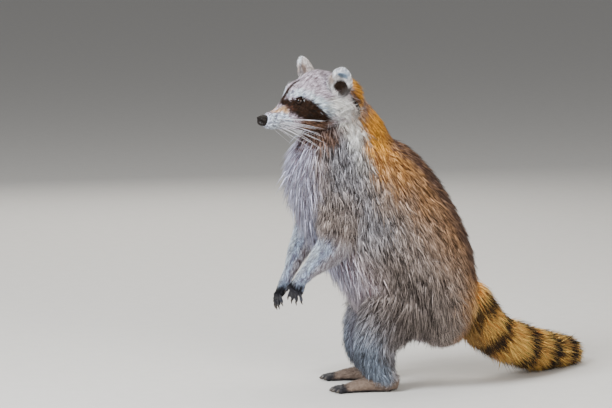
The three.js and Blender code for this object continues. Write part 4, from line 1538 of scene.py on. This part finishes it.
def add_light(name, at, towards, size, power, colour):
    """A soft square light that faces a place."""
    data = bpy.data.lights.new(name, "AREA")
    data.size, data.energy, data.color = size, power, colour
    light = bpy.data.objects.new(name, data)
    light.location = at
    away = np.array(at, float) - np.array(towards, float)
    flat = math.hypot(away[0], away[1])
    light.rotation_euler = (math.atan2(flat, away[2]), 0, math.atan2(away[0], -away[1]))
    bpy.context.scene.collection.objects.link(light)


def build_stage(stage):
    """Pale floor, soft lights, and a long lens at the height the pose is seen from."""
    scene = bpy.context.scene
    half = 20.0
    corners = np.array([[-half, -half, 0], [half, -half, 0], [half, half, 0], [-half, half, 0]])
    mesh = make_mesh("floor", corners, np.array([[0, 1, 2, 3]]), in_row=True)
    floor = bpy.data.objects.new("floor", mesh)
    mesh.materials.append(floor_finish())
    scene.collection.objects.link(floor)

    raised = math.radians(RAISED)
    aim = to_row(AIM)
    camera_data = bpy.data.cameras.new("camera")
    camera_data.sensor_width = SENSOR
    camera_data.lens = SENSOR * (DISTANCE / PIXEL) / FRAME_WIDE
    camera_data.clip_end = 100.0
    camera = bpy.data.objects.new("camera", camera_data)
    camera.location = aim + DISTANCE * MM * np.array([0, -math.cos(raised), math.sin(raised)])
    camera.rotation_euler = (math.pi / 2 - raised, 0, 0)
    scene.collection.objects.link(camera)
    scene.camera = camera

    middle = (-0.02, -0.02, 0.25)
    add_light("key_light", (-1.5, -1.7, 1.9), middle, 1.0, 176 * stage.brightness, (0.92, 0.96, 1.0))
    add_light("fill_light", (1.0, -2.6, 1.2), middle, 1.4, 84 * stage.brightness, (1.0, 0.96, 0.9))
    add_light("top_light", (0.2, 0.6, 2.4), middle, 2.0, 44 * stage.brightness, (1.0, 0.97, 0.92))
    add_light("rim_light", (-0.6, 2.2, 1.3), middle, 1.6, 26 * stage.brightness, (1.0, 0.97, 0.92))
    world = bpy.data.worlds.new("studio")
    world.use_nodes = True
    world.node_tree.nodes["Background"].inputs["Color"].default_value = (0.92, 0.93, 0.95, 1.0)
    world.node_tree.nodes["Background"].inputs["Strength"].default_value = 0.32 * stage.brightness
    scene.world = world


# ---------------------------------------------------------------- add-on

INKS = {
    "flank_light": ("Silver tips of the flank", (202, 186, 178)),
    "flank_dark": ("Brown underfur of the flank", (24, 12, 7)),
    "back_light": ("Agouti band of the back", (206, 160, 118)),
    "back_dark": ("Underfur of the back", (48, 27, 14)),
    "nape_light": ("Golden nape", (255, 184, 70)),
    "nape_dark": ("Brown of the nape", (116, 52, 6)),
    "ridge_light": ("Line of the back", (120, 96, 84)),
    "ridge_dark": ("Dark tips of the back", (58, 42, 44)),
    "rump_light": ("Ochre of the rump", (230, 148, 78)),
    "rump_dark": ("Brown of the rump", (78, 39, 28)),
    "chest_light": ("Pale chest and belly", (210, 212, 238)),
    "chest_dark": ("Underfur of the chest", (84, 58, 60)),
    "belly_light": ("Belly", (248, 234, 242)),
    "belly_dark": ("Underfur of the belly", (128, 102, 106)),
    "thigh_light": ("Silver of the thigh", (192, 208, 232)),
    "thigh_dark": ("Dark of the thigh", (22, 14, 12)),
    "foreleg_light": ("Bluish white of the foreleg", (206, 226, 255)),
    "foreleg_dark": ("Shade of the foreleg", (98, 84, 104)),
    "foreleg_brown": ("Brown behind the foreleg", (104, 76, 62)),
    "tail_light": ("Ochre of the tail", (255, 204, 108)),
    "tail_dark": ("Underfur of the tail", (196, 116, 46)),
    "ring": ("Rings of the tail", (38, 24, 15)),
    "ring_dark": ("Underfur of the rings", (24, 16, 12)),
    "white": ("White of the brow and cheek", (232, 246, 255)),
    "white_shade": ("Shade of the white", (96, 108, 136)),
    "brow_light": ("Forehead", (226, 216, 230)),
    "brow_dark": ("Shade of the forehead", (84, 56, 58)),
    "crown_light": ("Crown", (190, 160, 148)),
    "crown_dark": ("Shade of the crown", (50, 34, 28)),
    "cheek_light": ("Cheek", (250, 248, 244)),
    "cheek_dark": ("Shade of the cheek", (156, 150, 148)),
    "throat_light": ("Throat", (146, 112, 92)),
    "throat_dark": ("Dark throat", (48, 22, 8)),
    "muzzle_light": ("Muzzle", (226, 238, 255)),
    "muzzle_dark": ("Shade of the muzzle", (70, 60, 80)),
    "tan": ("Tan above the muzzle", (220, 186, 146)),
    "tan_dark": ("Shade of the tan", (140, 104, 74)),
    "mask": ("Mask", (44, 24, 8)),
    "mask_dark": ("Depth of the mask", (20, 10, 4)),
    "mask_warm": ("Front of the mask", (80, 50, 38)),
    "lip": ("Lips and lid margins", (22, 17, 16)),
    "ear_back": ("Back of the ear", (214, 208, 206)),
    "ear_back_dark": ("Shade of the ear's back", (130, 116, 110)),
    "ear_grey": ("Grey of the ear", (130, 146, 164)),
    "ear_cream": ("Front of the ear", (255, 252, 250)),
    "ear_cream_dark": ("Shade of the ear's front", (160, 160, 168)),
    "ruff": ("White ruff", (255, 255, 252)),
    "ruff_dark": ("Shade of the ruff", (224, 220, 214)),
    "ear_hole": ("Inside of the ear", (50, 32, 18)),
    "paw": ("Digits", (24, 22, 29)),
    "paw_dark": ("Creases of the digits", (11, 10, 13)),
    "foot_light": ("Hair of the foot", (140, 122, 108)),
    "foot_dark": ("Underfur of the foot", (76, 60, 52)),
}

def colour_property(words, screen):
    """A colour that a user can change, given as a screen colour."""
    return bpy.props.FloatVectorProperty(
        name=words, description=words + ", as linear light", subtype="COLOR", size=3, min=0, max=1,
        default=linear(*screen))


Colours = type("RaccoonColours", (bpy.types.PropertyGroup,), {
    "__doc__": "The coat's colours",
    "__annotations__": {name: colour_property(words, screen) for name, (words, screen) in INKS.items()},
})


class RaccoonShape(bpy.types.PropertyGroup):
    """Sizes of the skin and the parts on it"""
    voxel: bpy.props.FloatProperty(
        name="Skin cell", description="Size of the cells the skin is joined in",
        default=0.0018, unit="LENGTH", min=0.001, max=0.01)
    eye_radius: bpy.props.FloatProperty(
        name="Eye radius", description="Radius of each globe",
        default=EYE_RADIUS * MM, unit="LENGTH")
    whisker_reach: bpy.props.FloatProperty(
        name="Whisker reach", description="Share of the whiskers' full length",
        default=1.0, min=0.1, max=1.5)


class RaccoonCoat(bpy.types.PropertyGroup):
    """Amount and size of the tufts"""
    density: bpy.props.FloatProperty(
        name="Density", description="Share of the full number of tufts",
        default=1.0, min=0.01, max=1.0)
    length: bpy.props.FloatProperty(
        name="Length", description="Share of the full length of a tuft",
        default=1.0, min=0.2, max=1.5)
    width: bpy.props.FloatProperty(
        name="Width", description="Width of a long tuft",
        default=0.0009, unit="LENGTH", min=0.0002, max=0.005)


class RaccoonStage(bpy.types.PropertyGroup):
    """The studio"""
    brightness: bpy.props.FloatProperty(
        name="Brightness", description="Strength of all lights",
        default=1.0, min=0.0, max=5.0)


class RACCOON_OT_stage(bpy.types.Operator):
    """Add the floor, the lights and the camera"""
    bl_idname = "raccoon.stage"
    bl_label = "Stage"

    def execute(self, context):
        build_stage(context.scene.raccoon_stage)
        return {"FINISHED"}


# Outside these numbers of faces the skin has gone wrong.
LEAST_FACES, MOST_FACES = 20000, 400000


class RACCOON_OT_skin(bpy.types.Operator):
    """Add the skin in place of the solids of flesh"""
    bl_idname = "raccoon.skin"
    bl_label = "Skin"

    def execute(self, context):
        skin = build_skin(context.scene.raccoon_shape, context.scene.raccoon_colours)
        if not LEAST_FACES < len(skin.data.polygons) < MOST_FACES:
            raise RuntimeError(f"the skin has {len(skin.data.polygons)} faces")
        return {"FINISHED"}


class RACCOON_OT_coat(bpy.types.Operator):
    """Add the coat's tufts over the skin"""
    bl_idname = "raccoon.coat"
    bl_label = "Coat"

    def execute(self, context):
        if Skin.made is None:
            raise RuntimeError("the coat needs the skin first")
        build_coat(context.scene.raccoon_coat)
        return {"FINISHED"}


class RACCOON_OT_eyes(bpy.types.Operator):
    """Add the eyes and their lids"""
    bl_idname = "raccoon.eyes"
    bl_label = "Eyes and lids"

    def execute(self, context):
        build_eyes(context.scene.raccoon_shape)
        build_lids(context.scene.raccoon_colours)
        return {"FINISHED"}


class RACCOON_OT_nose(bpy.types.Operator):
    """Add the nose pad"""
    bl_idname = "raccoon.nose"
    bl_label = "Nose"

    def execute(self, context):
        build_nose()
        return {"FINISHED"}


class RACCOON_OT_claws(bpy.types.Operator):
    """Add the twenty claws"""
    bl_idname = "raccoon.claws"
    bl_label = "Claws"

    def execute(self, context):
        build_claws()
        return {"FINISHED"}


class RACCOON_OT_whiskers(bpy.types.Operator):
    """Add the whiskers"""
    bl_idname = "raccoon.whiskers"
    bl_label = "Whiskers"

    def execute(self, context):
        build_whiskers(context.scene.raccoon_shape)
        return {"FINISHED"}


# In the order in which they run.
OPERATORS = (
    RACCOON_OT_stage, RACCOON_OT_skin, RACCOON_OT_coat, RACCOON_OT_eyes, RACCOON_OT_nose, RACCOON_OT_claws,
    RACCOON_OT_whiskers,
)
GROUPS = {
    "raccoon_colours": Colours, "raccoon_shape": RaccoonShape, "raccoon_coat": RaccoonCoat,
    "raccoon_stage": RaccoonStage,
}


class RACCOON_PT_panel(bpy.types.Panel):
    """Lists the raccoon's pieces and sizes"""
    bl_label = "Raccoon"
    bl_idname = "RACCOON_PT_panel"
    bl_space_type = "VIEW_3D"
    bl_region_type = "UI"
    bl_category = "Raccoon"

    def draw(self, context):
        for operator in OPERATORS:
            self.layout.operator(operator.bl_idname)
        for group_name, group in GROUPS.items():
            box = self.layout.box()
            for name in group.__annotations__:
                box.prop(getattr(context.scene, group_name), name)


def register():
    """Makes the groups known, hangs them on the scene, and makes the operators and the panel known."""
    for group_name, group in GROUPS.items():
        bpy.utils.register_class(group)
        setattr(bpy.types.Scene, group_name, bpy.props.PointerProperty(type=group))
    for operator in (*OPERATORS, RACCOON_PT_panel):
        bpy.utils.register_class(operator)


def unregister():
    """Undoes register."""
    for operator in reversed((*OPERATORS, RACCOON_PT_panel)):
        bpy.utils.unregister_class(operator)
    for group_name, group in GROUPS.items():
        delattr(bpy.types.Scene, group_name)
        bpy.utils.unregister_class(group)


def main():
    """Builds everything in order and writes down the sizes."""
    register()
    bpy.ops.raccoon.stage()
    bpy.ops.raccoon.skin()
    bpy.ops.raccoon.coat()
    bpy.ops.raccoon.eyes()
    bpy.ops.raccoon.nose()
    bpy.ops.raccoon.claws()
    bpy.ops.raccoon.whiskers()


if __name__ == "__main__":
    main()
